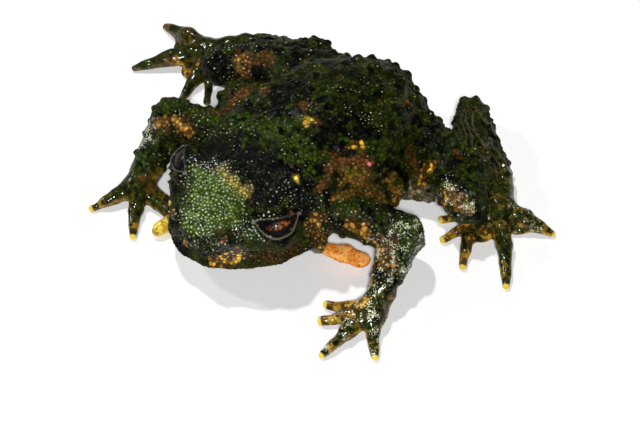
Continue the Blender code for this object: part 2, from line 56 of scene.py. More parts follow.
SIDES = (1, -1)

# Middle line of the head, about which its stations are mirrored
HEAD_MIDDLE = -1.8


def mirrored(station, side):
    """A station of the head, given for a middle line at x = 0."""
    return (HEAD_MIDDLE + side * station[0],) + tuple(station[1:])


# Stations of the body: x, y, z and the radius seen from above
JAW = [(-1.8, -10.7, 3.7, 7.3), (-1.4, -6.2, 3.9, 10.4), (-0.8, -1, 4.6, 9.8)]
SKULL = [(-1.8, -10.8, 5.2, 6.4), (-1.7, -6.3, 5.9, 8.9), (-0.7, -1, 7.2, 9.3)]
SNOUT = [(-1.8, -13.9, 5.8, 3.3), (-1.8, -11, 6.4, 4.2)]
TORSO = [(-0.4, -1, 7, 9.6), (0, 6, 7, 9.8), (0.2, 12, 6.6, 9.4),
         (-0.4, 17, 6, 6.3), (-0.6, 20, 5.6, 3.3)]
FLANK = [(0.2, 4, 4.5, 10.4), (0.5, 11, 4.5, 10.9)]
FLANK_BAGS = [[(-9.8, 3.2, 4.8, 4.1), (-12.6, 5.6, 4.9, 4.3)],
              [(8, 4.4, 4.2, 4), (8.8, 7.6, 4, 4)]]
GROIN = [(12, 12.2, 3.2, 1.6), (11.4, 10.8, 2.4, 1.6), (14.4, 11.9, 2.4, 1.2)]
FLAP_ROOT = (11.5, -4.1, 2.4, 1.3)
SKIN_FOLD = [(9.6, -5, 2.8, 0.9), (12.3, -3.2, 2.1, 1.2), (14.4, -2.1, 1.4, 1.3)]
FLAP = [FLAP_ROOT] + SKIN_FOLD[1:]
BACK_RIDGE = [(8, -3.5, 10, 1.5), (8.5, 4, 10.6, 1.7), (6.6, 13, 10.5, 1.6)]
BACK_RIDGES = [[(side * x, y, z, radius) for x, y, z, radius in BACK_RIDGE] for side in SIDES]
BROW = [mirrored((5.6, -9.2, 7.9, 2.7), side) for side in SIDES]
JAW_FLAT = 3.4
SKULL_FLAT = 1.75
SNOUT_FLAT = 1.2
TORSO_FLAT = 1.32
FLANK_FLAT = 2.2
BAG_FLAT = 1.3
FOLD_FLAT = 1.9
BROW_FLAT = 1.0

# Head: eyes, ridges from eye to nostril, lids, nostrils, lips
EYE_RADIUS = 2.65
EYES = {side: mirrored((7.5, -9.0, 7.7), side) for side in SIDES}
EYE_BULGE = 3.0
BULGE_DEPTH = 0.5
EYE_RIDGE = [(6.4, -12.2, 7.9, 1.6), (2.9, -15.8, 6.8, 1.2)]
LIDS_FACING = (36.0, 36.0)
GAZE_FACING = (26.0, 12.0)
LID_LENGTH = 2.85
LID_TOP = 1.5
LID_DROP = 2.3
LID_DEPTH = 0.62
LID_ARCH = 0.1
LID_ROUNDNESS = 0.75
LID_CORNER = 0.5
LID_FRONT = 0.3
LID_MARGIN = 2.0
LID_REACH = 5.0
NO_LID = -9.0
LOWER_LID = 0.6
LID_RELIEF = 0.12
UPPER_RIM_PALENESS = 0.25
SOCKET_GAP = 0.14
NOSTRILS = [mirrored((3.1, -16.9, 6.9), side) for side in SIDES]
NOSTRIL_RADIUS = 0.55
NOSTRIL_DEPTH = 0.6
NOSTRIL_RIM = 0.12
MOUTH_LINE = 3.3
MOUTH_REACH = 12.5
MOUTH_DEPTH = 0.22
LIP_HEIGHT = 0.12

# Limbs: x, y, z and radius at each joint
ARM_LEFT = [(8.6, -1.5, 7.2, 2.9), (17.6, 2.2, 5.2, 2.8), (20.1, -4.5, 2.6, 1.8)]
ARM_RIGHT = [(-9.4, -1.5, 7.2, 2.9), (-18.1, -3.8, 6, 2.8), (-16.8, -10.5, 2.6, 2.1)]
THIGH_LEFT = [(6.1, 18, 6, 2.8), (13.2, 15.6, 5.4, 3.2), (20.2, 12.4, 4.7, 2.7)]
THIGH_RIGHT = [(-7, 17, 6.4, 3.1), (-14.4, 12.6, 5.8, 3.2), (-20.8, 8.7, 4.9, 2.7)]
SHANK_LEFT = [(20.2, 12.4, 4.7, 2.6), (15.5, 19, 4.2, 2.6), (10.2, 26.3, 3.3, 2.2)]
SHANK_RIGHT = [(-20.8, 8.7, 4.9, 2.6), (-17.1, 14.9, 4.2, 2.5), (-13.5, 21.1, 3.3, 1.9)]
TARSUS_LEFT = [(10.3, 26.6, 2.7, 1.9), (19.6, 21.1, 1.7, 1.6)]
TARSUS_RIGHT = [(-13.5, 21.4, 2.6, 1.75), (-23.2, 16.3, 1.7, 1.6)]
PALM_RADIUS = 2.0
SOLE_RADIUS = 2.3
PALM_LEFT = [(20.1, -4.5, 2.3, 1.8), (20.8, -7.4, 1.2, PALM_RADIUS)]
PALM_RIGHT = [(-16.8, -10.5, 2.3, 2.05), (-16.3, -12.6, 1.2, PALM_RADIUS)]
SOLE_LEFT = [(19.6, 21.1, 1.6, 1.6), (22.3, 16.9, 1.2, SOLE_RADIUS)]
SOLE_RIGHT = [(-23.2, 16.3, 1.6, 1.6), (-25.9, 12.0, 1.2, SOLE_RADIUS)]

UPPER_LIMBS = [ARM_LEFT, ARM_RIGHT, THIGH_LEFT, THIGH_RIGHT]
LOWER_LIMBS = [SHANK_LEFT, SHANK_RIGHT, TARSUS_LEFT, TARSUS_RIGHT]

# Digits, from the inner to the outer one: x and y of the tip, radius halfway and at the
# tip, and how far the digit bows to its left
FINGERS_LEFT = [(15.6, -10, 0.95, 0.55, 0), (16.7, -12.5, 1, 0.52, 0),
                (20.1, -16.3, 0.95, 0.5, 0), (25.3, -12, 0.9, 0.5, 0)]
FINGERS_RIGHT = [(-11.8, -11.2, 0.9, 0.5, 0), (-8.6, -13.2, 0.85, 0.8, 0),
                 (-11.3, -18.8, 0.95, 0.5, 0), (-18.7, -19.1, 1, 0.5, 0)]
TOES_LEFT = [(17.7, 10.9, 0.7, 0.5, 0), (19.9, 8.4, 0.85, 0.5, 0),
             (24.6, 6.7, 0.95, 0.5, -1.7), (30.8, 8, 1.1, 0.5, 0.3),
             (30.1, 19, 1.3, 0.5, 0)]
TOES_RIGHT = [(-21, 9.4, 0.6, 0.5, 0), (-20.6, 5.3, 0.7, 0.5, 0),
              (-23.6, 3.4, 1.1, 0.5, 0), (-32.8, 3.1, 1.25, 0.5, -0.4),
              (-35.3, 12, 1.5, 0.5, 0)]
FINGER_CURL = [(-8.6, -13.2, 0.8, 0.85), (-9.2, -16, 0.85, 0.95)]
WEBS_LEFT = [(22.9, 12.6), (25.9, 17)]
WEBS_RIGHT = [(-26.2, 8.2), (-30.2, 10.6)]
DIGIT_ROOT = 1.5
WEB_FLAT = 2.8
WEB_RADIUS = 1.6
WEB_ROOT_HEIGHT = 0.7
WEB_HEIGHT = 0.45
DIGIT_SINK = 0.08

# Widths over which the parts run into one another
JOIN = {"limb": 0.6, "skull": 1.4, "snout": 1.2, "brow": 2.0, "ridge": 1.8, "eye": 0.9,
        "trunk": 1.5, "flank": 2.0, "back": 1.6, "bag": 1.8, "groin": 1.0, "neck": 2.4,
        "fold": 0.6, "upper": 1.0, "lower": 0.5, "digit": 0.3, "palm": 0.8, "paw": 0.5,
        "floor": 0.25}

# Drawing points onto the field
SLOPE_STEP = 0.02
LEAST_SLOPE = 0.05
LONGEST_MOVE = 0.4
SETTLE_ROUNDS = 4

# Camera, as the photograph was taken: angles in degrees, pixels in a frame of 640 by 423
CAMERA_AZIMUTH = 42.0
CAMERA_ELEVATION = 50.0
CAMERA_DISTANCE = 250.0
CAMERA_TARGET = (0.0, 0.0, 6.0)
FRAME_WIDTH = 640.0
FRAME_HEIGHT = 423.0
TARGET_PIXEL = (290.0, 172.0)
PIXELS_PER_MM = 7.5
SENSOR_WIDTH = 36.0
NEAREST_SEEN = 0.01
FARTHEST_SEEN = 10.0


def blend(first, second, width):
    """Smaller of two fields, run together softly over a width."""
    mix = np.clip(0.5 + 0.5 * (second - first) / width, 0.0, 1.0)
    return second + (first - second) * mix - width * mix * (1.0 - mix)


def tapered(points, start, end, flat):
    """Field of a ball that swells or shrinks from one station to the next."""
    squash = np.array((1.0, 1.0, flat))
    reach = (np.array(end[:3]) - start[:3]) * squash
    offset = (points - np.array(start[:3])) * squash
    along = np.clip(offset @ reach / (reach @ reach), 0.0, 1.0)
    radius = start[3] + (end[3] - start[3]) * along
    distance = np.linalg.norm(offset - along[:, None] * reach, axis=1) - radius
    return distance / math.sqrt(flat)


def limb(points, stations, flat=1.0, width=JOIN["limb"]):
    """Field of a chain of stations, worked out only near the chain."""
    places = np.array([station[:3] for station in stations])
    reach = max(station[3] for station in stations) + NEAR
    inside = (points > places.min(axis=0) - reach) & (points < places.max(axis=0) + reach)
    near = np.flatnonzero(inside.all(axis=1))
    close = points[near]
    part = tapered(close, stations[0], stations[1], flat)
    for start, end in zip(stations[1:-1], stations[2:]):
        part = blend(part, tapered(close, start, end, flat), width)
    field = np.full(len(points), FAR)
    field[near] = part
    return field


def joined(points, field, name, chains, flat=1.0):
    """A field with more chains run into it, over the width of that name."""
    for stations in chains:
        field = blend(field, limb(points, stations, flat), JOIN[name])
    return field


def eye_ridge(side):
    """The ridge from an eye towards its nostril."""
    return [mirrored(station, side) for station in EYE_RIDGE]


def eye_bulge(side):
    """The bulge of the lids around an eye, as a short upright chain."""
    x, y, z = EYES[side]
    return [(x, y, z, EYE_BULGE), (x, y, z - BULGE_DEPTH, EYE_BULGE)]


def head_field(points):
    """Jaw, skull, snout, brow, eye bulges and the ridges in front of the eyes."""
    field = joined(points, limb(points, JAW, JAW_FLAT), "skull", [SKULL], SKULL_FLAT)
    field = joined(points, field, "snout", [SNOUT], SNOUT_FLAT)
    field = joined(points, field, "brow", [BROW], BROW_FLAT)
    for side in SIDES:
        field = joined(points, field, "ridge", [eye_ridge(side)])
        field = joined(points, field, "eye", [eye_bulge(side)])
    return field


def body_field(points):
    """Head, torso, baggy flanks, back ridges and the loose fold at the left armpit."""
    trunk = limb(points, TORSO, TORSO_FLAT, JOIN["trunk"])
    trunk = joined(points, trunk, "flank", [FLANK], FLANK_FLAT)
    trunk = joined(points, trunk, "back", BACK_RIDGES)
    trunk = joined(points, trunk, "bag", FLANK_BAGS, BAG_FLAT)
    trunk = joined(points, trunk, "groin", [GROIN])
    field = blend(head_field(points), trunk, JOIN["neck"])
    return joined(points, field, "fold", [SKIN_FOLD], FOLD_FLAT)


def digit(palm, tip):
    """Stations of one finger or toe, from the palm's centre to the tip."""
    x, y, halfway, end, bow = tip
    across, ahead = x - palm[0], y - palm[1]
    share = bow / math.hypot(across, ahead)
    middle = ((palm[0] + x) / 2 - ahead * share, (palm[1] + y) / 2 + across * share,
              halfway - DIGIT_SINK, halfway)
    root = (palm[0], palm[1], DIGIT_ROOT - DIGIT_SINK, DIGIT_ROOT)
    return [root, middle, (x, y, end - DIGIT_SINK, end)]


def web(palm, edge):
    """Stations of the skin between two toes."""
    root = (palm[0], palm[1], WEB_ROOT_HEIGHT, WEB_RADIUS)
    return [root, (edge[0], edge[1], WEB_HEIGHT, WEB_RADIUS)]


def paw_limbs(palm, tips, webs=(), curls=()):
    """Every chain of a hand or foot, with its flatness."""
    chains = [(palm, 1.0)]
    chains += [(digit(palm[-1], tip), 1.0) for tip in tips]
    chains += [(web(palm[-1], edge), WEB_FLAT) for edge in webs]
    return chains + [(stations, 1.0) for stations in curls]


# Hands and feet: left hand, right hand, left foot, right foot
PAWS = [paw_limbs(PALM_LEFT, FINGERS_LEFT),
        paw_limbs(PALM_RIGHT, FINGERS_RIGHT, curls=[FINGER_CURL]),
        paw_limbs(SOLE_LEFT, TOES_LEFT, WEBS_LEFT),
        paw_limbs(SOLE_RIGHT, TOES_RIGHT, WEBS_RIGHT)]


def frog_field(points):
    """The whole frog, with a flat underside where it rests on the floor."""
    field = joined(points, body_field(points), "upper", UPPER_LIMBS)
    field = joined(points, field, "lower", LOWER_LIMBS)
    for chains in PAWS:
        paw = limb(points, *chains[0])
        for stations, flat in chains[1:]:
            paw = blend(paw, limb(points, stations, flat, JOIN["digit"]), JOIN["palm"])
        field = blend(field, paw, JOIN["paw"])
    return -blend(-field, points[:, 2], JOIN["floor"])


def gradient(points):
    """Slope of the frog's field by central differences."""
    slope = np.empty_like(points)
    for axis in range(3):
        shift = np.zeros(3)
        shift[axis] = SLOPE_STEP
        rise = frog_field(points + shift) - frog_field(points - shift)
        slope[:, axis] = rise / (2 * SLOPE_STEP)
    return slope


def settled(points, rounds):
    """Points drawn onto the frog's surface, and its outward directions there."""
    for _ in range(rounds):
        slope = gradient(points)
        steepness = np.maximum((slope ** 2).sum(axis=1), LEAST_SLOPE)
        step = slope * (frog_field(points) / steepness)[:, None]
        length = np.linalg.norm(step, axis=1)
        step *= np.minimum(1.0, LONGEST_MOVE / np.maximum(length, TINY))[:, None]
        points = points - step
    outward = slope / np.maximum(np.linalg.norm(slope, axis=1), TINY)[:, None]
    return points, outward


def unit_ball():
    """Points and faces of a plain ball of radius 1."""
    bm = bmesh.new()
    bmesh.ops.create_uvsphere(bm, u_segments=ROUND, v_segments=ROUND // 2, radius=1.0)
    points = np.array([vertex.co[:] for vertex in bm.verts])
    faces = [[vertex.index for vertex in face.verts] for face in bm.faces]
    bm.free()
    return points, faces


def cone(start, end, flat):
    """Points and faces of the tapered stretch between two stations."""
    squash = np.array((1.0, 1.0, flat))
    first, last = np.array(start[:3]) * squash, np.array(end[:3]) * squash
    turn = np.array(Vector(last - first).to_track_quat("Z", "Y").to_matrix())
    angles = np.linspace(0, 2 * math.pi, ROUND, endpoint=False)
    ring = np.stack((np.cos(angles), np.sin(angles), np.zeros(ROUND)), axis=1) @ turn.T
    points = np.vstack((first + ring * start[3], last + ring * end[3])) / squash
    after = [(index + 1) % ROUND for index in range(ROUND)]
    faces = [[index, after[index], after[index] + ROUND, index + ROUND] for index in range(ROUND)]
    faces += [list(range(ROUND - 1, -1, -1)), list(range(ROUND, 2 * ROUND))]
    return points, faces


def skin_chains():
    """Every chain of the frog, with its flatness."""
    chains = [(JAW, JAW_FLAT), (SKULL, SKULL_FLAT), (SNOUT, SNOUT_FLAT), (TORSO, TORSO_FLAT),
              (FLANK, FLANK_FLAT), (GROIN, 1.0), (SKIN_FOLD, FOLD_FLAT), (BROW, BROW_FLAT)]
    for side in SIDES:
        chains += [(eye_bulge(side), 1.0), (eye_ridge(side), 1.0)]
    chains += [(bag, BAG_FLAT) for bag in FLANK_BAGS]
    chains += [(stations, 1.0) for stations in BACK_RIDGES + UPPER_LIMBS + LOWER_LIMBS]
    for paw in PAWS:
        chains += paw
    return chains


def evaluated(shape):
    """The mesh of an object with its modifiers, which are then dropped."""
    graph = bpy.context.evaluated_depsgraph_get()
    mesh = bpy.data.meshes.new_from_object(shape.evaluated_get(graph))
    shape.modifiers.clear()
    shape.data = mesh
    return mesh


def built(name, build, **sizes):
    """A mesh made by one of the builders of bmesh."""
    bm = bmesh.new()
    build(bm, **sizes)
    mesh = bpy.data.meshes.new(name)
    bm.to_mesh(mesh)
    bm.free()
    return mesh


def new_object(name, mesh):
    """An object for a mesh, in the scene."""
    shape = bpy.data.objects.new(name, mesh)
    bpy.context.scene.collection.objects.link(shape)
    return shape


def rough_skin():
    """Balls and cones of every chain, remeshed into one closed surface."""
    ball, ball_faces = unit_ball()
    pieces = []
    for stations, flat in skin_chains():
        for x, y, z, radius in stations:
            pieces.append((ball * (radius, radius, radius / flat) + (x, y, z), ball_faces))
        pieces += [cone(start, end, flat) for start, end in zip(stations[:-1], stations[1:])]
    points, faces, count = [], [], 0
    for places, sides in pieces:
        points += places.tolist()
        faces += [[count + corner for corner in side] for side in sides]
        count += len(places)
    mesh = bpy.data.meshes.new("skin")
    mesh.from_pydata(points, [], faces)
    shape = new_object("skin", mesh)
    remesh = shape.modifiers.new("Remesh", "REMESH")
    remesh.mode = "VOXEL"
    remesh.voxel_size = VOXEL
    evaluated(shape)
    return shape


def mesh_points(mesh):
    """The places of a mesh's points."""
    flat = np.empty(len(mesh.vertices) * 3, dtype=np.float32)
    mesh.vertices.foreach_get("co", flat)
    return flat.reshape(-1, 3).astype(float)


def move_points(mesh, points):
    """Puts a mesh's points at new places."""
    mesh.vertices.foreach_set("co", points.astype(np.float32).ravel())
    mesh.update()


def aim(shape, place, target):
    """Puts a light or camera at a place, facing a target, both in millimetres."""
    shape.location = Vector(place) * MILLIMETRE
    facing = Vector(target) - Vector(place)
    shape.rotation_euler = facing.to_track_quat("-Z", "Y").to_euler()


def direction(azimuth, elevation):
    """Unit vector towards an azimuth and elevation, as the camera's angles are counted."""
    turn, lift = math.radians(azimuth), math.radians(elevation)
    return Vector((math.sin(turn) * math.cos(lift), -math.cos(turn) * math.cos(lift),
                   math.sin(lift)))


def make_camera():
    """The photograph's camera: its angle, distance, focal length and framing."""
    data = bpy.data.cameras.new("camera")
    camera = new_object("camera", data)
    place = Vector(CAMERA_TARGET) + direction(CAMERA_AZIMUTH, CAMERA_ELEVATION) * CAMERA_DISTANCE
    aim(camera, place, CAMERA_TARGET)
    data.sensor_width = SENSOR_WIDTH
    data.lens = SENSOR_WIDTH * CAMERA_DISTANCE * PIXELS_PER_MM / FRAME_WIDTH
    data.shift_x = (FRAME_WIDTH / 2 - TARGET_PIXEL[0]) / FRAME_WIDTH
    data.shift_y = -(FRAME_HEIGHT / 2 - TARGET_PIXEL[1]) / FRAME_WIDTH
    data.clip_start = NEAREST_SEEN
    data.clip_end = FARTHEST_SEEN
    bpy.context.scene.camera = camera


# Relief: spacing and height of the beads, sizes of the warts
HEAD_SPACING = 0.42
BODY_SPACING = 0.5
PAW_SPACING = 0.4
BELLY_SPACING = 0.7
GRANULE_HEIGHT = 0.14
BACK_HEIGHT = 0.075
PAW_HEIGHT = 0.09
BELLY_HEIGHT = 0.06
TRUNK_WARTS = 2.3
LIMB_WARTS = 1.75
WART_SHARE = (0.36, 0.52)
WART_RISE = 0.55
BACK_WART_SHARE = 0.4
BEAD_UNEVENNESS = 0.12
BEAD_SIZES = (0.55, 1.2)
BEAD_ROUNDNESS = 2.4
WART_UNEVENNESS = 0.15
PLAIN_SKIN = 0.35
UNEVENNESS = 0.09
TREE_STEP = 6
EASE_ROUNDS = 4
SMOOTH_ARM_WARTS = 0.25
PAW_DEPTH = 0.5

# Seeds of the draws; size and seed of each unevenness
SEEDS = {"beads": 8, "bead sizes": 9, "tones": 10, "warts": 11, "wart sizes": 12, "lit": 13}
WAVES = {"beads": (3.0, 17), "warts": (4.0, 18), "wrinkles": (3.2, 27), "skin": (2.4, 37),
         "edges": (1.3, 47)}
WAVE_COUNT = 14
WAVE_SPREAD = (0.7, 1.6)

# Ends of the rise of each share from 0 to 1
EDGES = {
    "limb": (0.2, 1.2), "belly": (0.1, 0.6), "face": (3.5, 6.5), "upward": (-0.2, 0.4),
    "high": (9.5, 12.0), "behind": (-4.0, 2.0), "rump": (12.0, 16.0), "flap": (0.15, 0.5),
    "arm": (0.2, 1.0), "groin": (0.5, 1.4), "paw": (0.1, 0.6), "digit": (1.6, 3.0),
    "side": (0.1, 0.65), "floor": (0.02, 0.5), "wart": (0.15, 1.0), "wrinkle": (0.2, 0.8),
    "socket wall": (-0.02, 0.22), "socket": (0.0, 0.1), "calm": (-0.95, -0.45),
    "mouth corner": (3.5, 5.0), "mouth end": (0.0, 0.5), "upright": (0.3, 0.6),
    "lit": (0.10, 0.38), "close": (0.0, 0.6), "sparkle": (0.4, 0.7), "rare": (0.88, 0.97),
    "tip": (-0.1, 0.2), "band": (-0.1, 0.1), "ring": (0.7, 1.0), "ring end": (1.5, 2.0),
}

# Middle and width of each hump on lids, lips and nostrils
HUMPS = {"rim": (-0.1, 0.085), "crease": (-0.55, 0.14), "groove": (0.0, 0.13),
         "upper lip": (0.4, 0.25), "lower lip": (-0.4, 0.25), "lip line": (-0.35, 0.2),
         "nostril": (1.25, 0.3)}

# Warts that the photograph shows: x, y, z, radius, height
NECK_WARTS = [(10.6, -6.2, 7.4, 1.2, 0.5), (11.4, -4.4, 6.2, 1.3, 0.6),
              (10.8, -3.6, 8.6, 1.2, 0.5), (11.9, -5.2, 4.3, 1.2, 0.55)]
NAMED_WARTS = [mirrored(wart, side) for side in SIDES for wart in NECK_WARTS] + [
    (-0.3, 17.7, 12.6, 1.6, 0.9), (1.4, 18.6, 12, 1.3, 0.7), (3.2, 18.9, 11.2, 1.5, 0.8),
    (5.6, 19.6, 8.6, 1.5, 0.9), (6.9, 16.3, 11, 1.2, 0.7), (-3.4, 17.6, 12, 1.3, 0.7),
    (0.7, 2.7, 14.6, 0.7, 0.35), (4.8, -4.5, 12, 0.6, 0.3), (12.9, 6.6, 4, 1.1, 0.6),
    (12.6, 12, 5.4, 1, 0.6), (13.4, 12.4, 6, 1, 0.6), (14.2, 12.2, 6.4, 0.9, 0.5),
]

# Long wrinkles: middle, reach, direction across the folds, spacing, height
WRINKLES = [
    ((15.8, 23.4, 3.6), 6.6, (0.40, 0.62, 0.68), 0.62, 0.15),
    ((-18.5, 19, 3), 5.2, (-0.25, 0.47, 0.85), 0.62, 0.15),
    ((3, 19, 9.5), 5.5, (0.25, 0.3, 0.9), 0.6, 0.08),
    ((-9.6, -12.6, 6.4), 4, (0, 0.73, 0.69), 0.9, 0.18),
    ((14, 10.6, 1.6), 3.2, (0.1, 0.6, 0.8), 0.6, 0.1),
]

# Whole part of a wrinkled place, its bends, and the rise at which its ridges carry their full
# painted highlight
WRINKLE_CORE = 0.6
WRINKLE_BENDS = 1.5
RIDGE_RISE = 0.15

# Markings, in the order of laying: x, y, z of the first and of the last place, radius
MARKS = {
    "olive": [
        (8.6, 1.7, 10.5, 12.2, 4.1, 8, 1.7), (9.2, -0.5, 9, 11.3, 2.3, 7.5, 0.9),
        (11.8, 7, 8, 13.1, 7.6, 6, 1.1), (9.6, -1.6, 10.2, 10.2, 2.6, 8.2, 0.9),
        (18.4, 11.1, 6.8, 21.3, 10.7, 6.6, 0.9),
    ],
    "brown": [
        (3.8, -13.1, 4.5, 8.3, -8.8, 4.5, 1.7), (5.4, -11.4, 5.5, 8, -8.9, 5, 0.8),
    ],
    "moss": [
        (23, 17.1, 5.5, 11.1, 24.5, 6, 1.6),
    ],
    "grey": [
        (12.6, 10.4, 2.4, 16.1, 10.6, 2.6, 1.5),
    ],
    "green": [
        (-2.8, -12.2, 10.2, -2, -14.6, 8.8, 2.7), (-6, -10.9, 10.7, -3.4, -10.4, 11, 1.8),
        (0.8, -13, 9.6, 0, -11, 10.7, 1.6),
    ],
    "leaf": [
        (-11.7, -1.6, 9.8, -5.6, -2, 13.1, 1.2), (-5.6, -2, 13.1, -1.2, -0.8, 14.3, 1.4),
        (2, -1, 14, 6.5, -2, 12.4, 1.4), (3.4, -12.6, 8.6, 6.6, -10.4, 9.8, 1),
        (5, 4, 13.6, 9.6, 8.4, 11.8, 1.2), (19, 2, 7.2, 20.6, -0.4, 6, 1.6),
        (-17.3, -11.4, 4.9, -18.4, -4, 8.4, 0.9), (13, 16.4, 8.6, 15, 18.4, 7, 1.1),
        (17.6, 13.4, 7.6, 19, 14, 7, 1),
    ],
    "black": [
        (-7, -8, 11, -1, -6.4, 12.2, 2.1), (-1, -6.4, 12.2, 7.6, -4.8, 11.8, 2),
        (2.4, -8.6, 11, 3.8, -7.4, 11.4, 1.8), (-5.9, 7.8, 13.3, -4.5, 2.8, 13.8, 1.6),
        (-8.6, 1, 12.4, -2.3, 2.2, 14.4, 0.7), (2.3, 3.1, 14.4, 7.9, 8.2, 12.8, 1),
        (5.5, 2.4, 13.3, 5.9, 3, 13.2, 0.9), (3.3, 2.4, 14.2, 3.7, 2.4, 14.2, 1),
        (17.9, -3.7, 4.7, 21.4, -3.8, 4.5, 1), (-18.5, -9.2, 6.1, -18.5, -8.2, 6.8, 1.2),
        (-20.6, 6.8, 7, -18.4, 8.2, 7.6, 1.5), (10, 16.4, 8.6, 12.4, 14.8, 8.4, 1.3),
        (16, 14.6, 8, 17.4, 12.4, 7.4, 0.9), (-6.9, -15.6, 4.6, -9.2, -11, 5, 1.6),
    ],
    "lichen": [
        (-3.9, -9.2, 11.3, 1.4, -9.7, 11.2, 0.6),
    ],
    "amber": [
        (-16.6, -5.6, 8.6, -13.6, -5.1, 8.4, 0.8), (-18.6, -7.2, 7.4, -17.4, -6.2, 8.2, 0.8),
        (16.6, -1.8, 5.4, 19.8, -2.8, 5.6, 0.8), (8.8, -6, 7.6, 9.2, -4.2, 8.6, 0.8),
        (9.4, -4.8, 5.4, 10.1, -5, 3.4, 0.9), (-17.6, 9.6, 7.8, -16.8, 9, 7.8, 1),
        (16.7, 10.5, 5.1, 18.2, 10.4, 5.5, 0.6), (-35.6, 11.8, 0.6, -35, 11.8, 0.6, 0.8),
        (12.6, -2.3, 8, 16.4, -1.8, 6.8, 0.8),
    ],
    "rust": [
        (-12.3, -1, 9.6, -13.4, 3, 7.8, 0.8), (-13.4, 3, 7.8, -12, 6.4, 8.6, 0.9),
        (-12, 6.4, 8.6, -8.2, 4.2, 12.2, 0.7), (-16.5, 10, 8.2, -14.3, 11.6, 9, 0.8),
        (-1.7, 4.2, 14.6, -1.5, 4.2, 14.6, 0.6), (1.9, 3.3, 14.5, 2, 3.4, 14.5, 0.5),
        (6.5, 1.2, 12.9, 10, 4.6, 11.5, 0.75), (6.5, 1.2, 12.9, 8, -3.2, 11.6, 0.6),
        (17.4, -0.9, 7.2, 18.2, -0.6, 6.8, 0.8), (15.6, 15.9, 8, 16, 16.1, 7.8, 0.6),
        (6.7, 16.2, 11.2, 7.1, 16.4, 10.9, 0.7), (10.3, 12.3, 7.5, 11.4, 12.2, 5.5, 0.7),
        (-15.6, -12.2, 2.6, -14.4, -12, 1.8, 0.8), (2.3, -15.6, 8.2, 2.5, -15.4, 8.2, 0.4),
        (8.6, -5.4, 5.6, 9.8, -4.6, 3.4, 0.9), (-10.6, -15.2, 6.6, -8.4, -14.6, 6.4, 0.5),
    ],
    "gold": [
        (19.6, -8.2, 2.6, 16.6, -9.9, 1.6, 1.1), (19.2, -9.6, 2, 17.4, -12, 1.4, 0.8),
        (7, 5, 12.9, 7.4, 5.2, 12.8, 0.7), (13.9, 12.4, 6.9, 13.1, 12.2, 4.6, 0.8),
        (13.1, 12.2, 4.6, 13.3, 11, 3.8, 0.6), (12.8, 6.6, 4, 13, 6.8, 3.4, 0.8),
        (2.1, -16.8, 4.4, 4, -14.8, 5.8, 0.9), (-2.6, -17.6, 5.3, -2.4, -17.6, 5.3, 0.3),
        (-5.7, -16.2, 7.6, -5.5, -16.2, 7.2, 0.4), (18.6, -5.2, 4, 18.8, -5.4, 3.8, 0.4),
        (17.4, 10.2, 5.6, 18.2, 10.2, 5.4, 0.8), (22.3, 11.9, 0.8, 24.2, 12.7, 0.8, 0.6),
        (25.2, 16.8, 0.8, 25.9, 18.1, 0.8, 0.6), (19.6, 11.4, 1.2, 17.7, 10.9, 0.8, 0.8),
        (21.2, 11.6, 1.2, 19.9, 8.6, 0.8, 0.7), (23, 10.4, 1.2, 24.5, 7.2, 0.8, 0.6),
        (-30.4, 11.7, 1.5, -28.6, 11.6, 1.6, 0.8), (-29.3, 6.8, 1, -28, 7.4, 1.2, 0.7),
        (-26, 7, 0.9, -25.4, 8.4, 1, 0.9),
    ],
    "yellow": [
        (0.7, 2.7, 14.9, 0.7, 2.8, 14.9, 0.6), (4.8, -4.5, 12.2, 4.9, -4.5, 12.2, 0.4),
        (-9.2, -16.2, 1.2, -9, -15.4, 1.2, 1.4),
    ],
    "pink": [
        (-16.5, 10, 8.3, -15, 11.1, 8.8, 0.3), (-15.6, 8.5, 6.4, -15.4, 8.5, 6.4, 0.4),
        (9.8, 4.4, 11.7, 10, 4.6, 11.6, 0.35), (7.3, -7.7, 10.6, 7.6, -7.6, 10.6, 0.45),
        (10.2, -5, 2.5, 10.4, -5, 2.5, 0.4),
    ],
}

# Places of the painted highlights on bead tips: closely, sparsely, and with painted bright lines;
# GLINTING and LINED places also get the wetter film
GLINTING = [
    (-2.8, -12.2, 10.2, -2, -14.6, 8.8, 3.4), (-6, -10.9, 10.7, -0.6, -10.8, 10.7, 2.2),
    (-7.6, -9.6, 9.4, -8.2, -11.6, 8.4, 1), (-5.9, -9, 11.2, -1.4, -8.8, 11.6, 0.9),
    (3.4, -12.6, 8.6, 6.6, -10.4, 9.8, 1.6), (1.4, -16, 6.6, 4.8, -14.4, 6.4, 1),
]
SPARKLING = [
    (-20.9, 9, 7.9, -18.1, 8.7, 7.7, 2.2), (-17.5, 12.1, 8.3, -15.8, 12.3, 8.9, 1.2),
    (-13.6, -3, 9.4, -10, -4.8, 9.4, 1.6), (9.4, -4.4, 8.6, 9.8, -5.4, 4.6, 1.8),
    (12.2, -2.1, 8.3, 16.6, -1.6, 7, 1.4), (-7.4, -3.6, 11.6, -4, -3, 13, 1.2),
    (4.2, -7.4, 11.2, 8.8, -3.6, 11, 1.4), (-16.5, -5.2, 8.4, -14, -5, 8.4, 1),
    (-12.5, 3.7, 8, -10, 6, 10.6, 0.9), (3.3, 8.1, 14.2, 6.4, 10.4, 12.9, 0.8),
]
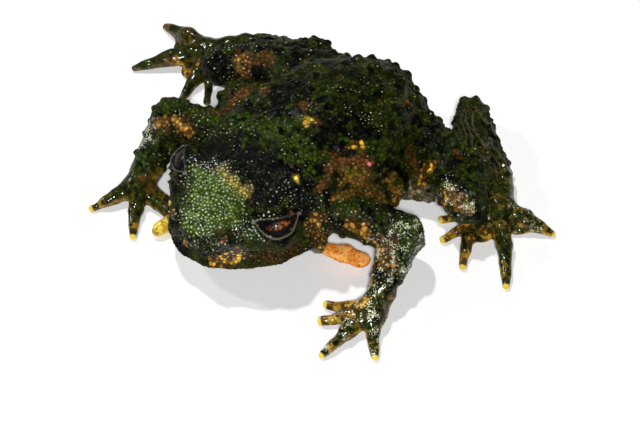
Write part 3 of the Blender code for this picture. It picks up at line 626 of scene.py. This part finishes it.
LINED = [
    (19, 2, 7.2, 20.6, -0.4, 6, 2.6), (17.8, -1.6, 6.6, 18.6, -4.6, 4.6, 1.6),
    (19.6, -5.6, 4, 20.4, -7.6, 2.8, 1.8), (20.2, -8.4, 2.4, 19.2, -9.6, 2, 1.2),
    (20.1, -9.5, 2.2, 20.1, -15, 1.2, 1), (22, -8.6, 2.2, 24.6, -11.4, 1.2, 0.9),
    (19, -9.5, 2, 16.9, -11.8, 1.4, 0.8), (-32, 2.8, 1.6, -29.4, 5.5, 2, 0.6),
    (24.2, 17.9, 2.2, 29, 18.2, 1.4, 0.9), (18.4, 11.1, 6.8, 21.3, 10.7, 6.6, 1.5),
    (-18.5, -8.6, 6.6, -18.9, -7.6, 6.6, 1.4),
]

# Hands and feet: blunt tips are bare; gold, and pale tips with their bands, go by paw
BLUNT_TIP = 0.7
PAW_WETNESS = 0.65
PAW_GOLD = (0.9, 0.55, 1.0, 0.25)
PAW_TIPS = ((1.0, 0.7), (0.9, 0.6), (0.8, 0.3), (0.0, 0.0))
TIP_WIDTH = 1.3
TIP_REACH = 2.7

# Edges of the markings
EDGE_WOBBLE = 0.4
BEAD_SCATTER = 0.9
EDGE_SOFTNESS = 0.45
MARK_FLATNESS = 0.7
SMALL_MARK = 1.0
BEAD_FOLLOWING = 0.7


def waves(points, name):
    """Smooth seeded unevenness of about -1 to 1, from waves in many directions."""
    size, seed = WAVES[name]
    generator = np.random.default_rng(seed)
    total = np.zeros(len(points))
    for _ in range(WAVE_COUNT):
        way = generator.normal(size=3)
        length = size * generator.uniform(*WAVE_SPREAD) * np.linalg.norm(way)
        way *= 2 * math.pi / length
        total += np.sin(points @ way + generator.uniform(0, 2 * math.pi))
    return total / math.sqrt(WAVE_COUNT)


def drawn(name, count, low=0.0, high=1.0):
    """Seeded random numbers between two ends."""
    return np.random.default_rng(SEEDS[name]).uniform(low, high, count)


def stepped(value, low, high):
    """Smooth rise from 0 at low to 1 at high."""
    share = np.clip((value - low) / (high - low), 0.0, 1.0)
    return share * share * (3 - 2 * share)


def risen(value, name):
    """Smooth rise from 0 to 1 between the named edges."""
    return stepped(value, *EDGES[name])


def hump(value, name):
    """Smooth hump of height 1 over its named middle."""
    middle, width = HUMPS[name]
    return np.exp(-((value - middle) / width) ** 2)


def tree_of(points):
    """A search tree over points."""
    tree = KDTree(len(points))
    for index, point in enumerate(points.tolist()):
        tree.insert(point, index)
    tree.balance()
    return tree


def spread_out(points, spacing, name):
    """Indices of points that keep their spacing from one another, in a seeded order."""
    tree = tree_of(points)
    taken = np.zeros(len(points), dtype=bool)
    chosen = []
    for index in np.random.default_rng(SEEDS[name]).permutation(len(points)).tolist():
        if taken[index]:
            continue
        chosen.append(index)
        found = tree.find_range(points[index].tolist(), float(spacing[index]))
        taken[[item[1] for item in found]] = True
    return np.array(chosen)


def paw_shares(points):
    """Shares of each point that lie on a hand or foot and on its digits, and its gold."""
    field = np.full(len(points), FAR)
    digits, gilt = np.zeros((2, len(points)))
    for chains, gold in zip(PAWS, PAW_GOLD):
        own = np.full(len(points), FAR)
        for stations, flat in chains:
            own = np.minimum(own, limb(points, stations, flat, JOIN["digit"]))
        palm = np.array(chains[0][0][-1][:3])
        beyond = risen(np.linalg.norm(points - palm, axis=1), "digit")
        digits = np.maximum(digits, beyond * (own < PAW_DEPTH))
        gilt = np.maximum(gilt, gold * (own < PAW_DEPTH))
        field = np.minimum(field, own)
    return 1.0 - risen(field, "paw"), digits, gilt


def skin_regions(points, outward):
    """Shares of each point that lie in the named regions of the body."""
    limbs = risen(body_field(points), "limb")
    belly = risen(-outward[:, 2], "belly")
    face = risen(-points[:, 1], "face") * (1 - limbs)
    back = risen(points[:, 2], "high") * risen(points[:, 1], "behind") * (1 - limbs)
    paw, digits, gilt = paw_shares(points)
    return {"limb": limbs, "belly": belly, "face": face, "back": back, "digit": digits,
            "gilt": gilt, "paw": paw * (1 - belly),
            "head": face * risen(outward[:, 2], "upward"),
            "rump": risen(points[:, 1], "rump") * (1 - limbs),
            "flap": 1 - risen(limb(points, FLAP, FOLD_FLAT), "flap"),
            "arm": 1 - risen(limb(points, ARM_LEFT[1:]), "arm"),
            "groin": 1 - risen(limb(points, GROIN), "groin")}


def granules(points, shares):
    """Height, dome, tone, middle and painted glint on the tip of the beads that cover the skin.
    """
    paw, belly = shares["paw"], shares["belly"]
    spacing = BODY_SPACING + (HEAD_SPACING - BODY_SPACING) * shares["head"]
    spacing += (PAW_SPACING - BODY_SPACING) * paw + (BELLY_SPACING - BODY_SPACING) * belly
    spacing *= 1.0 + BEAD_UNEVENNESS * waves(points, "beads")
    chosen = spread_out(points, spacing, "beads")
    beads = tree_of(points[chosen])
    near = np.empty((len(points), 2))
    nearest = np.empty(len(points), dtype=int)
    for index, point in enumerate(points.tolist()):
        first, second = beads.find_n(point, 2)
        near[index] = first[2], second[2]
        nearest[index] = first[1]
    cell = np.clip(2 * near[:, 0] / np.maximum(near.sum(axis=1), TINY), 0.0, 1.0)
    dome = np.sqrt(1.0 - cell ** BEAD_ROUNDNESS)
    bare = np.maximum(shares["back"], shares["rump"])
    height = GRANULE_HEIGHT + (BACK_HEIGHT - GRANULE_HEIGHT) * bare
    height += (PAW_HEIGHT - height) * paw
    height += (BELLY_HEIGHT - height) * belly
    height *= (1 - shares["digit"]) * (1 - shares["flap"]) * (1 - shares["groin"])
    height *= dome
    height *= drawn("bead sizes", len(chosen), *BEAD_SIZES)[nearest]
    tone = drawn("tones", len(chosen))[nearest]
    lit = (1.0 - risen(cell, "lit")) * drawn("lit", len(chosen))[nearest]
    return height, dome, tone, points[chosen][nearest], lit


def warts(points, shares):
    """Height of the warts: those named above, and smaller ones scattered by seed."""
    plain = shares["paw"] + shares["belly"] + shares["flap"] + shares["face"] < PLAIN_SKIN
    few = np.flatnonzero(plain)[::TREE_STEP]
    wide = TRUNK_WARTS + (LIMB_WARTS - TRUNK_WARTS) * shares["limb"]
    spacing = wide[few] * (1.0 + WART_UNEVENNESS * waves(points[few], "warts"))
    chosen = few[spread_out(points[few], spacing, "warts")]
    radii = wide[chosen] * drawn("wart sizes", len(chosen), *WART_SHARE)
    rises = radii * WART_RISE * (1 - (1 - BACK_WART_SHARE) * shares["back"][chosen])
    rises *= 1 - (1 - SMOOTH_ARM_WARTS) * shares["arm"][chosen]
    bumps = [(*point, radius, rise) for point, radius, rise in zip(points[chosen], radii, rises)]
    height = np.zeros(len(points))
    for x, y, z, radius, rise in NAMED_WARTS + bumps:
        near = np.flatnonzero((np.abs(points - (x, y, z)) < radius).all(axis=1))
        reach = np.linalg.norm(points[near] - (x, y, z), axis=1) / radius
        height[near] = np.maximum(height[near], rise * (1.0 - risen(reach, "wart")))
    return height * (1 - shares["groin"])


def wrinkles(points):
    """Height of the long wrinkles, and the share of painted highlight on their ridges."""
    height, ridge = np.zeros((2, len(points)))
    bends = WRINKLE_BENDS * waves(points, "wrinkles")
    for middle, reach, across, spacing, rise in WRINKLES:
        way = np.array(across) / np.linalg.norm(across)
        away = np.linalg.norm(points - middle, axis=1)
        share = 1.0 - stepped(away, reach * WRINKLE_CORE, reach)
        turn = 2 * math.pi * (points @ way) / spacing + bends
        wave = 1.0 - np.abs(np.sin(turn / 2)) * 2
        height += rise * share * wave
        # Painted highlight on the ridges of the wrinkles
        pale = share * risen(wave, "wrinkle") * min(1.0, rise / RIDGE_RISE)
        ridge = np.maximum(ridge, pale)
    return height, ridge


def eye_frame(side, facing):
    """Outward, along-the-lid and upward directions, for a turn to the side and a lift."""
    turn, lift = np.radians(facing).tolist()
    level = Vector((side * math.cos(turn), -math.sin(turn), 0.0))
    outward = level * math.cos(lift) + Vector((0, 0, math.sin(lift)))
    along = Vector((0, 0, 1)).cross(level)
    return np.array(outward), np.array(along), np.array(outward.cross(along))


def lid_relief(points, side):
    """How far points lie inside the opening of the lids, and which are at its lower edge."""
    outward, along, upward = eye_frame(side, LIDS_FACING)
    offset = points - np.array(EYES[side])
    across, height, depth = offset @ along, offset @ upward, offset @ outward
    share = np.clip(1.0 - (across / LID_LENGTH) ** 2, 0.0, 1.0)
    lower = LID_TOP - LID_DROP * share ** LID_ROUNDNESS
    upper = LID_TOP + LID_ARCH * share
    inside = np.minimum(upper - height, height - lower)
    inside = np.minimum(inside, (LID_LENGTH - np.abs(across)) * LID_CORNER)
    away = (depth < LID_FRONT) | (np.abs(across) > LID_LENGTH + LID_MARGIN)
    away |= np.abs(offset).max(axis=1) > LID_REACH
    return np.where(away, NO_LID, inside), height < lower + LOWER_LID


def lids(points):
    """Push of sockets and lid rims, and the shares of pale rim, calm skin and socket."""
    push = np.zeros_like(points)
    pale, calm, socket = np.zeros((3, len(points)))
    for side in SIDES:
        inside, below = lid_relief(points, side)
        radial = points - np.array(EYES[side])
        distance = np.linalg.norm(radial, axis=1)
        radial /= distance[:, None]
        depth = np.clip(distance - EYE_RADIUS + SOCKET_GAP, 0.0, LID_DEPTH)
        depth *= risen(inside, "socket wall")
        rim = hump(inside, "rim")
        crease = hump(inside, "crease") * below
        push += radial * (LID_RELIEF * rim - depth - LID_RELIEF * crease)[:, None]
        pale = np.maximum(pale, rim * np.where(below, 1.0, UPPER_RIM_PALENESS))
        calm = np.maximum(calm, risen(inside, "calm"))
        socket = np.maximum(socket, risen(inside, "socket"))
    return push, pale, calm, socket


def mouth(points, outward):
    """Height of the lips with the line between them, and the pale band under it."""
    ahead = risen(-points[:, 1], "mouth corner")
    ahead *= risen(MOUTH_REACH - np.abs(points[:, 0] - HEAD_MIDDLE), "mouth end")
    ahead *= risen(np.abs(outward[:, :2]).max(axis=1), "upright")
    level = points[:, 2] - MOUTH_LINE
    groove = MOUTH_DEPTH * ahead * hump(level, "groove")
    lips = LIP_HEIGHT * ahead * (hump(level, "upper lip") + hump(level, "lower lip"))
    return lips - groove, ahead * hump(level, "lip line")


def nostrils(points):
    """Depth of the nostrils, with a low rim."""
    height = np.zeros(len(points))
    for place in NOSTRILS:
        reach = np.linalg.norm(points - np.array(place), axis=1) / NOSTRIL_RADIUS
        height += NOSTRIL_RIM * hump(reach, "nostril")
        height -= NOSTRIL_DEPTH * np.clip(1.0 - reach ** 2, 0.0, 1.0)
    return height


def marking(points, marks, wobble, tone):
    """Share of a marking at each point, with an uneven edge that follows the beads."""
    total = np.zeros(len(points))
    squash = np.array((1.0, 1.0, MARK_FLATNESS))
    for *ends, radius in marks:
        start, end = np.reshape(ends, (2, 3))
        reach = (end - start) * squash
        offset = points * squash - start * squash
        along = np.clip(offset @ reach / (reach @ reach), 0.0, 1.0)
        distance = np.linalg.norm(offset - along[:, None] * reach, axis=1)
        size = min(radius, SMALL_MARK)
        distance += size * (BEAD_SCATTER * (tone - 0.5) - EDGE_WOBBLE * wobble)
        soft = EDGE_SOFTNESS * size
        total = np.maximum(total, 1.0 - stepped(distance, radius - soft, radius + soft))
    return total


def digit_tips(points):
    """Shares of the pale tips, dark bands and gold rings of fingers and toes."""
    tip, band, ring = np.zeros((3, len(points)))
    for chains, (tipped, banded) in zip(PAWS, PAW_TIPS):
        for stations, flat in chains[1:]:
            if flat != 1.0 or stations[-1][3] > BLUNT_TIP:
                continue
            before, end = np.array(stations[1][:3]), np.array(stations[2][:3])
            ahead = (end - before) / np.linalg.norm(end - before)
            offset = points - end
            along = offset @ ahead
            near = np.linalg.norm(offset - along[:, None] * ahead, axis=1) < TIP_WIDTH
            near &= np.abs(along) < TIP_REACH
            ringed = risen(-along, "ring")
            tip = np.maximum(tip, tipped * near * risen(along, "tip"))
            band = np.maximum(band, banded * near * risen(-along, "band") * (1 - ringed))
            ring = np.maximum(ring, banded * near * ringed * (1 - risen(-along, "ring end")))
    return tip, band, ring


def store(mesh, name, values):
    """Keeps a value for each point of a mesh, under a name that the material reads."""
    attribute = mesh.attributes.new(name, "FLOAT", "POINT")
    attribute.data.foreach_set("value", np.asarray(values, dtype=np.float32))


def store_marks(mesh, points, middles, shares, tone, lit):
    """Stores the markings, the painted glints on bead tips, the places of painted highlight lines
    and the wet places of the skin.
    """
    wobble = waves(points, "edges")
    follow = BEAD_FOLLOWING * (1 - shares["paw"])
    places = points + (middles - points) * follow[:, None]
    for name, marks in MARKS.items():
        store(mesh, name, marking(places, marks, wobble, tone))
    # Painted highlights: glints on bead tips, sparse where listed, rare over all but belly and
    # paws, close where glinting
    sparkle = risen(lit, "sparkle") * marking(places, SPARKLING + LINED, wobble, tone)
    rare = risen(lit, "rare") * (1 - shares["belly"]) * (1 - shares["paw"])
    close = risen(lit, "close") * marking(places, GLINTING, wobble, tone)
    store(mesh, "painted_glint", np.maximum(np.maximum(sparkle, rare), close))
    # Places of the painted highlight lines
    store(mesh, "painted_lines", marking(points, LINED, wobble, tone))
    wet = marking(points, GLINTING + LINED, wobble, tone)
    store(mesh, "wet", np.maximum(wet, PAW_WETNESS * shares["paw"]))


def make_skin():
    """The whole skin: a fine mesh on the frog's field, its relief and its markings."""
    skin = rough_skin()
    points, _ = settled(mesh_points(skin.data), SETTLE_ROUNDS)
    move_points(skin.data, points)
    finer = skin.modifiers.new("Finer", "SUBSURF")
    finer.levels = 1
    ease = skin.modifiers.new("Ease", "SMOOTH")
    ease.iterations = EASE_ROUNDS
    mesh = evaluated(skin)
    points, outward = settled(mesh_points(mesh), 1)

    shares = skin_regions(points, outward)
    beads, dome, tone, middles, lit = granules(points, shares)
    push, lid_pale, calm, socket = lids(points)
    lips, lip_pale = mouth(points, outward)
    folds, ridge = wrinkles(points)
    height = (beads + warts(points, shares)) * (1 - calm) + folds
    height += lips + nostrils(points) + UNEVENNESS * waves(points, "skin")
    resting = risen(points[:, 2], "floor")
    shaped = points + outward * (height * resting)[:, None] + push
    shaped[:, 2] = np.maximum(shaped[:, 2], 0.0)
    move_points(mesh, shaped * MILLIMETRE)
    mesh.shade_smooth()

    store_marks(mesh, points, middles, shares, tone, lit)
    tip, band, ring = digit_tips(points)
    layers = {name: shares[name] for name in ("paw", "belly", "digit", "gilt", "flap")}
    layers |= {"bead": dome * (1 - calm), "ridge": ridge * (1 - calm), "tone": tone,
               "pale": np.maximum(lid_pale, lip_pale), "socket": socket,
               "dull": np.maximum(shares["back"], shares["rump"]),
               "side": 1 - risen(outward[:, 2], "side"), "tip": tip, "band": band, "ring": ring}
    for name, values in layers.items():
        store(mesh, name, values)
    return skin


# Sockets of a mix node for colours
COLOUR_A = 6
COLOUR_B = 7
MIXED = 2


def fill(tree, node, inputs):
    """Fills a node's sockets with links, numbers or colours."""
    for name, value in inputs.items():
        if isinstance(value, bpy.types.NodeSocket):
            tree.links.new(value, node.inputs[name])
        else:
            colour = isinstance(value, tuple)
            node.inputs[name].default_value = (*value, 1.0) if colour else value


def new_node(tree, kind, inputs, **settings):
    """A node of a material, with its settings and its sockets filled."""
    node = tree.nodes.new("ShaderNode" + kind)
    for name, value in settings.items():
        setattr(node, name, value)
    fill(tree, node, inputs)
    return node


def stored(tree, name):
    """The value stored on the skin under a name."""
    return new_node(tree, "Attribute", {}, attribute_name=name).outputs["Fac"]


def noise(tree, size, detail=3.0, roughness=0.55):
    """Noise whose lumps are about a size in millimetres."""
    place = new_node(tree, "TexCoord", {}).outputs["Object"]
    inputs = {"Vector": place, "Scale": 1.0 / (size * MILLIMETRE), "Detail": detail,
              "Roughness": roughness}
    return new_node(tree, "TexNoise", inputs).outputs["Fac"]


def ranged(tree, value, low, high, first=0.0, last=1.0):
    """A value brought from one range to another, smoothly and within its ends."""
    ends = {"Value": value, "From Min": low, "From Max": high, "To Min": first, "To Max": last}
    return new_node(tree, "MapRange", ends, interpolation_type="SMOOTHSTEP").outputs["Result"]


def patches(tree, name, first=0.0, last=1.0):
    """Named patches of noise, from a first value outside them to a last one inside."""
    size, low, high, *fineness = PATCHES[name]
    return ranged(tree, noise(tree, size, *fineness), low, high, first, last)


def calculated(tree, operation, first, second):
    """Two values added, multiplied or the like; either may be a number."""
    return new_node(tree, "Math", {0: first, 1: second}, operation=operation).outputs["Value"]


def product(tree, value, *others):
    """Values multiplied together."""
    for other in others:
        value = calculated(tree, "MULTIPLY", value, other)
    return value


def coloured(tree, factor, first, second):
    """Two colours mixed by a factor."""
    inputs = {"Factor": factor, COLOUR_A: first, COLOUR_B: second}
    return new_node(tree, "Mix", inputs, data_type="RGBA").outputs[MIXED]


# Skin colours: red, green and blue
BLACK = (0.001, 0.0013, 0.0008)
DARK_GREEN = (0.0045, 0.0065, 0.0012)
MOSS = (0.016, 0.025, 0.002)
OLIVE = (0.034, 0.028, 0.004)
LEAF_GREEN = (0.034, 0.062, 0.004)
HEAD_GREEN = (0.048, 0.085, 0.01)
BRIGHT_GREEN = (0.075, 0.125, 0.016)
DARK_BROWN = (0.012, 0.006, 0.002)
BROWN = (0.055, 0.027, 0.006)
RUST = (0.095, 0.034, 0.01)
AMBER = (0.15, 0.066, 0.011)
OLIVE_GOLD = (0.11, 0.08, 0.01)
GOLD = (0.46, 0.27, 0.025)
YELLOW = (0.80, 0.60, 0.07)
PINK = (0.45, 0.11, 0.12)
# Painted highlight on glinting bead tips and on bright lines
PAINTED_GLINT = (0.84, 0.90, 0.58)
FLAP_ORANGE = (0.95, 0.45, 0.11)
FLAP_RED = (0.80, 0.24, 0.03)
FLAP_BROWN = (0.45, 0.11, 0.02)
OLD_GOLD = (0.26, 0.13, 0.018)
LICHEN = (0.21, 0.165, 0.016)
# Painted highlight on the ridges of wrinkles
RIDGE_HIGHLIGHT = (0.075, 0.066, 0.042)
PALE = (0.16, 0.145, 0.105)
SOCKET = (0.004, 0.003, 0.002)
BELLY_GREY = (0.085, 0.075, 0.045)

# Patches of the ground, over dark green
GROUND = {"moss": MOSS, "olive": OLIVE, "black": BLACK}

# Patches of noise: size, ends of the rise, detail, roughness
PATCHES = {
    "moss": (2.6, 0.40, 0.60), "olive": (1.1, 0.52, 0.68), "black": (1.7, 0.5, 0.62, 4.0),
    "paw moss": (1.0, 0.42, 0.58), "paw flecks": (0.8, 0.50, 0.62),
    "paw edges": (0.7, 0.38, 0.6), "paw sides": (1.6, 0.36, 0.54), "rings": (0.9, 0.42, 0.56),
    "bands": (0.6, 0.36, 0.5), "flap red": (1.2, 0.40, 0.60), "flap brown": (0.3, 0.54, 0.64),
    "lines": (1.3, 0.49, 0.60), "gloss": (0.7, 0.35, 0.7), "iris": (0.45, 0.46, 0.56, 4.0, 0.6),
}

# Size, detail and half-widths of the painted bright highlight lines on wet skin
LINE_SIZE = 0.42
LINE_DETAIL = 2.0
LINE_WIDTH = (0.01, 0.04)

# Beads: noise that stirs their tones, tones of the colours, and how they are lightened, by tone
# and by painted light and shade
STIR_SIZE = 0.7
STIR = 1.4
SECOND_COLOUR = (0.28, 0.5)
THIRD_COLOUR = (0.62, 0.78)
TONE_LIGHT = (0.6, 1.4)
# Painted highlight on the bead tops, partly their own paler tips, and painted shade in the gaps
# between beads
BEAD_HEIGHT = (0.15, 0.95)
BEAD_PAINTED_SHADING = (0.25, 1.35)

# Each marking as a mixture of three colours, of which the last covers the fewest beads
MARK_COLOURS = {
    "olive": (OLIVE_GOLD, AMBER, BROWN),
    "brown": (OLIVE, BROWN, DARK_BROWN),
    "moss": (MOSS, OLIVE, DARK_GREEN),
    "grey": (BELLY_GREY, PALE, OLIVE),
    "green": (HEAD_GREEN, BRIGHT_GREEN, MOSS),
    "leaf": (LEAF_GREEN, MOSS, BLACK),
    "black": (BLACK, BLACK, DARK_GREEN),
    "lichen": (OLIVE_GOLD, LICHEN, LICHEN),
    "amber": (BROWN, AMBER, OLD_GOLD),
    "rust": (BROWN, RUST, BROWN),
    "gold": (BROWN, AMBER, GOLD),
    "yellow": (GOLD, YELLOW, YELLOW),
    "pink": (BROWN, RUST, PINK),
}


def new_material(name, finish):
    """A material with its own nodes, and its shader with its plain settings."""
    material = bpy.data.materials.new(name)
    material.use_nodes = True
    shader = material.node_tree.nodes["Principled BSDF"]
    fill(material.node_tree, shader, finish)
    return material, material.node_tree, shader


def marked(tree, colour):
    """Each marking laid over a colour, its three colours dealt out by bead."""
    stir = calculated(tree, "SUBTRACT", noise(tree, STIR_SIZE), 0.5)
    tone = calculated(tree, "ADD", stored(tree, "tone"), product(tree, stir, STIR))
    second, third = ranged(tree, tone, *SECOND_COLOUR), ranged(tree, tone, *THIRD_COLOUR)
    for name, shades in MARK_COLOURS.items():
        mixture = coloured(tree, second, shades[0], shades[1])
        mixture = coloured(tree, third, mixture, shades[2])
        colour = coloured(tree, stored(tree, name), colour, mixture)
    return colour


def paw_colour(tree):
    """Hands and feet: dark above, mottled with moss and brown, gold along the digits."""
    gilt = stored(tree, "gilt")
    above = coloured(tree, patches(tree, "paw moss"), DARK_GREEN, MOSS)
    above = coloured(tree, product(tree, patches(tree, "paw flecks"), gilt), above, OLIVE_GOLD)
    edge = coloured(tree, patches(tree, "paw edges"), BROWN, GOLD)
    share = product(tree, patches(tree, "paw sides"), gilt, stored(tree, "side"))
    return coloured(tree, share, above, edge)


def flap_colour(tree):
    """The loose flap: orange, mottled with red and brown."""
    mottled = coloured(tree, patches(tree, "flap red"), FLAP_ORANGE, FLAP_RED)
    return coloured(tree, patches(tree, "flap brown"), mottled, FLAP_BROWN)


def painted_highlight_lines(tree):
    """Thin, broken bright lines painted as highlight over the places that are lined with light.
    """
    offset = calculated(tree, "SUBTRACT", noise(tree, LINE_SIZE, LINE_DETAIL), 0.5)
    thin = ranged(tree, calculated(tree, "ABSOLUTE", offset, 0.0), *LINE_WIDTH, 1.0, 0.0)
    return product(tree, thin, patches(tree, "lines"), stored(tree, "painted_lines"))


def bead_tone_and_painted_shading(tree, colour):
    """A colour lighter on the beads, by tone and painted highlight, and darker between them as
    painted shade, save digits and flap.
    """
    tone = ranged(tree, stored(tree, "tone"), 0.0, 1.0, *TONE_LIGHT)
    top = ranged(tree, stored(tree, "bead"), *BEAD_HEIGHT, *BEAD_PAINTED_SHADING)
    plain = calculated(tree, "MAXIMUM", stored(tree, "digit"), stored(tree, "flap"))
    shade = {"Factor": plain, "A": product(tree, tone, top), "B": 1.0}
    light = new_node(tree, "Mix", shade, data_type="FLOAT").outputs["Result"]
    return new_node(tree, "HueSaturation", {"Value": light, "Color": colour}).outputs["Color"]


def skin_colour(tree):
    """Colour of the skin: mossy ground, markings and beads with painted light and shade, then
    painted highlights, lids and flap.
    """
    colour = DARK_GREEN
    for name, shade in GROUND.items():
        colour = coloured(tree, patches(tree, name), colour, shade)
    colour = coloured(tree, stored(tree, "belly"), colour, BELLY_GREY)
    colour = coloured(tree, stored(tree, "paw"), colour, paw_colour(tree))
    colour = marked(tree, colour)
    rings = product(tree, stored(tree, "ring"), patches(tree, "rings"))
    bands = product(tree, stored(tree, "band"), patches(tree, "bands"))
    colour = coloured(tree, rings, colour, GOLD)
    colour = coloured(tree, bands, colour, DARK_BROWN)
    # Yellow digit tips, then painted highlight on bead tops and painted shade between beads
    colour = bead_tone_and_painted_shading(tree, coloured(tree, stored(tree, "tip"), colour, YELLOW))
    # Painted highlight on the wrinkle ridges
    colour = coloured(tree, stored(tree, "ridge"), colour, RIDGE_HIGHLIGHT)
    # Painted highlights: glints on bead tips and thin bright lines, mixed into the colour
    lights = calculated(tree, "MAXIMUM", stored(tree, "painted_glint"), painted_highlight_lines(tree))
    colour = coloured(tree, lights, colour, PAINTED_GLINT)
    colour = coloured(tree, stored(tree, "pale"), colour, PALE)
    colour = coloured(tree, stored(tree, "socket"), colour, SOCKET)
    return coloured(tree, stored(tree, "flap"), colour, flap_colour(tree))


# Wet film on plain and on wet skin, its roughness, and the pores under it
DAMP_FILM = 0.09
WET_FILM = 0.85
FILM_ROUGHNESS = (0.07, 0.14)
UNEVEN_GLOSS = 0.05
PORE_SIZE = 0.16
PORE_DETAIL = 2.0
PORES = {"Strength": 0.15, "Distance": 0.03 * MILLIMETRE}
SKIN_FINISH = {"Roughness": 0.5, "Specular IOR Level": 0.03, "Coat IOR": 1.42}


def skin_material():
    """Wet granular skin: glossiest on snout, left arm and paws, dull on back and rump."""
    material, tree, shader = new_material("frog_skin", SKIN_FINISH)
    film = ranged(tree, stored(tree, "wet"), 0.0, 1.0, DAMP_FILM, WET_FILM)
    rough = ranged(tree, stored(tree, "dull"), 0.0, 1.0, *FILM_ROUGHNESS)
    rough = calculated(tree, "ADD", rough, patches(tree, "gloss", 0.0, UNEVEN_GLOSS))
    pores = {"Height": noise(tree, PORE_SIZE, PORE_DETAIL), **PORES}
    bumpy = new_node(tree, "Bump", pores).outputs["Normal"]
    fill(tree, shader, {"Base Color": skin_colour(tree), "Coat Weight": film,
                        "Coat Roughness": rough, "Normal": bumpy, "Coat Normal": bumpy})
    return material


# Eyes: copper of the left (1) and the right (-1), the right one dark as painted shade, places as
# shares of the radius
COPPER = {1: (0.24, 0.075, 0.018), -1: (0.03, 0.012, 0.006)}
COPPER_FOOT = (0.43, 0.52)
# The copper fades out at its top as painted shade under the upper lid
COPPER_TOP = (0.74, 0.84)
DARK_IRIS = (0.006, 0.004, 0.004)
# Pupil black with a faint painted blue reflection
PUPIL = (0.001, 0.002, 0.005)
PUPIL_EDGE = (0.27, 0.33)
IRIS_EDGE = (0.70, 0.80)
PUPIL_LENGTH = 0.8
BALL_FINENESS = 6
EYE_FINISH = {"Roughness": 0.4, "Specular IOR Level": 0.1, "Coat Weight": 0.14,
              "Coat Roughness": 0.1}


def eye_material(side, ending):
    """Dark iris with copper blotches above a blue-black pupil, under a wet film; its top painted
    dark as lid shade, the pupil's blue a painted reflection.
    """
    material, tree, shader = new_material("eye_iris_" + ending, EYE_FINISH)
    reach, height = stored(tree, "reach"), stored(tree, "above")
    foot, top = ranged(tree, height, *COPPER_FOOT), ranged(tree, height, *COPPER_TOP, 1.0, 0.0)
    copper = product(tree, patches(tree, "iris"), product(tree, foot, top))
    colour = coloured(tree, copper, DARK_IRIS, COPPER[side])
    colour = coloured(tree, ranged(tree, reach, *PUPIL_EDGE), PUPIL, colour)
    colour = coloured(tree, ranged(tree, reach, *IRIS_EDGE), colour, PUPIL)
    fill(tree, shader, {"Base Color": colour})
    return material


def make_eye(side, ending):
    """One eyeball, with each point's distance from the pupil and height kept on it."""
    centre = Vector(EYES[side])
    mesh = built("eyeball_" + ending, bmesh.ops.create_icosphere, subdivisions=BALL_FINENESS,
                 radius=EYE_RADIUS, matrix=Matrix.Translation(centre))
    outward, along, upward = eye_frame(side, GAZE_FACING)
    points = mesh_points(mesh)
    offset = (points - np.array(EYES[side])) / EYE_RADIUS
    wide = np.hypot(offset @ along * PUPIL_LENGTH, offset @ upward)
    store(mesh, "reach", np.where(offset @ outward > 0, wide, 1.0))
    store(mesh, "above", offset @ upward)
    move_points(mesh, points * MILLIMETRE)
    mesh.shade_smooth()
    mesh.materials.append(eye_material(side, ending))
    eye = new_object("eyeball_" + ending, mesh)
    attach(eye, "root")
    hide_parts("eye_" + ending)


# Studio: direction, distance, size and watts of each lamp
FLOOR_SIZE = 900.0
LAMPS = {
    "key": ((-0.46, 0.19, 0.87), 700.0, 32.0, 2.2),
    "front": ((0.43, -0.478, 0.766), 600.0, 70.0, 3.0),
    "side": ((-0.80, -0.22, 0.56), 600.0, 45.0, 0.75),
}
FLOOR_FINISH = {"Base Color": (0.9, 0.9, 0.9), "Roughness": 0.9}
HORIZON = 0.10
OVERHEAD = 0.04
SKY_RISE = (0.05, 0.75)


def make_floor():
    """A plain white floor."""
    mesh = built("floor", bmesh.ops.create_grid, x_segments=1, y_segments=1,
                 size=FLOOR_SIZE / 2 * MILLIMETRE)
    floor = new_object("floor", mesh)
    material, _, _ = new_material("white_floor", FLOOR_FINISH)
    mesh.materials.append(material)


def make_lamp(name, towards, distance, size, watts):
    """A square lamp that faces the frog."""
    data = bpy.data.lights.new(name, "AREA")
    data.size = size * MILLIMETRE
    data.energy = watts
    lamp = new_object(name, data)
    aim(lamp, Vector(towards).normalized() * distance, CAMERA_TARGET)


def make_world():
    """Soft light all round, bright at the horizon and dark overhead."""
    world = bpy.data.worlds.new("studio")
    world.use_nodes = True
    tree = world.node_tree
    place = new_node(tree, "TexCoord", {}).outputs["Generated"]
    upward = new_node(tree, "SeparateXYZ", {"Vector": place}).outputs["Z"]
    sky = coloured(tree, ranged(tree, upward, *SKY_RISE), (HORIZON,) * 3, (OVERHEAD,) * 3)
    fill(tree, tree.nodes["Background"], {"Color": sky, "Strength": 1.0})
    bpy.context.scene.world = world


def dress():
    """Makes every visible piece, hangs it on the root and hides the solids it stands for."""
    skin = make_skin()
    skin.data.materials.append(skin_material())
    flesh = [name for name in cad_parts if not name.startswith("eye_")]
    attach(skin, "root")
    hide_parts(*flesh)
    make_eye(1, "l")
    make_eye(-1, "r")


make_camera()
make_floor()
make_world()
for lamp, values in LAMPS.items():
    make_lamp(lamp, *values)
dress()
bpy.context.scene.view_settings.view_transform = "Standard"
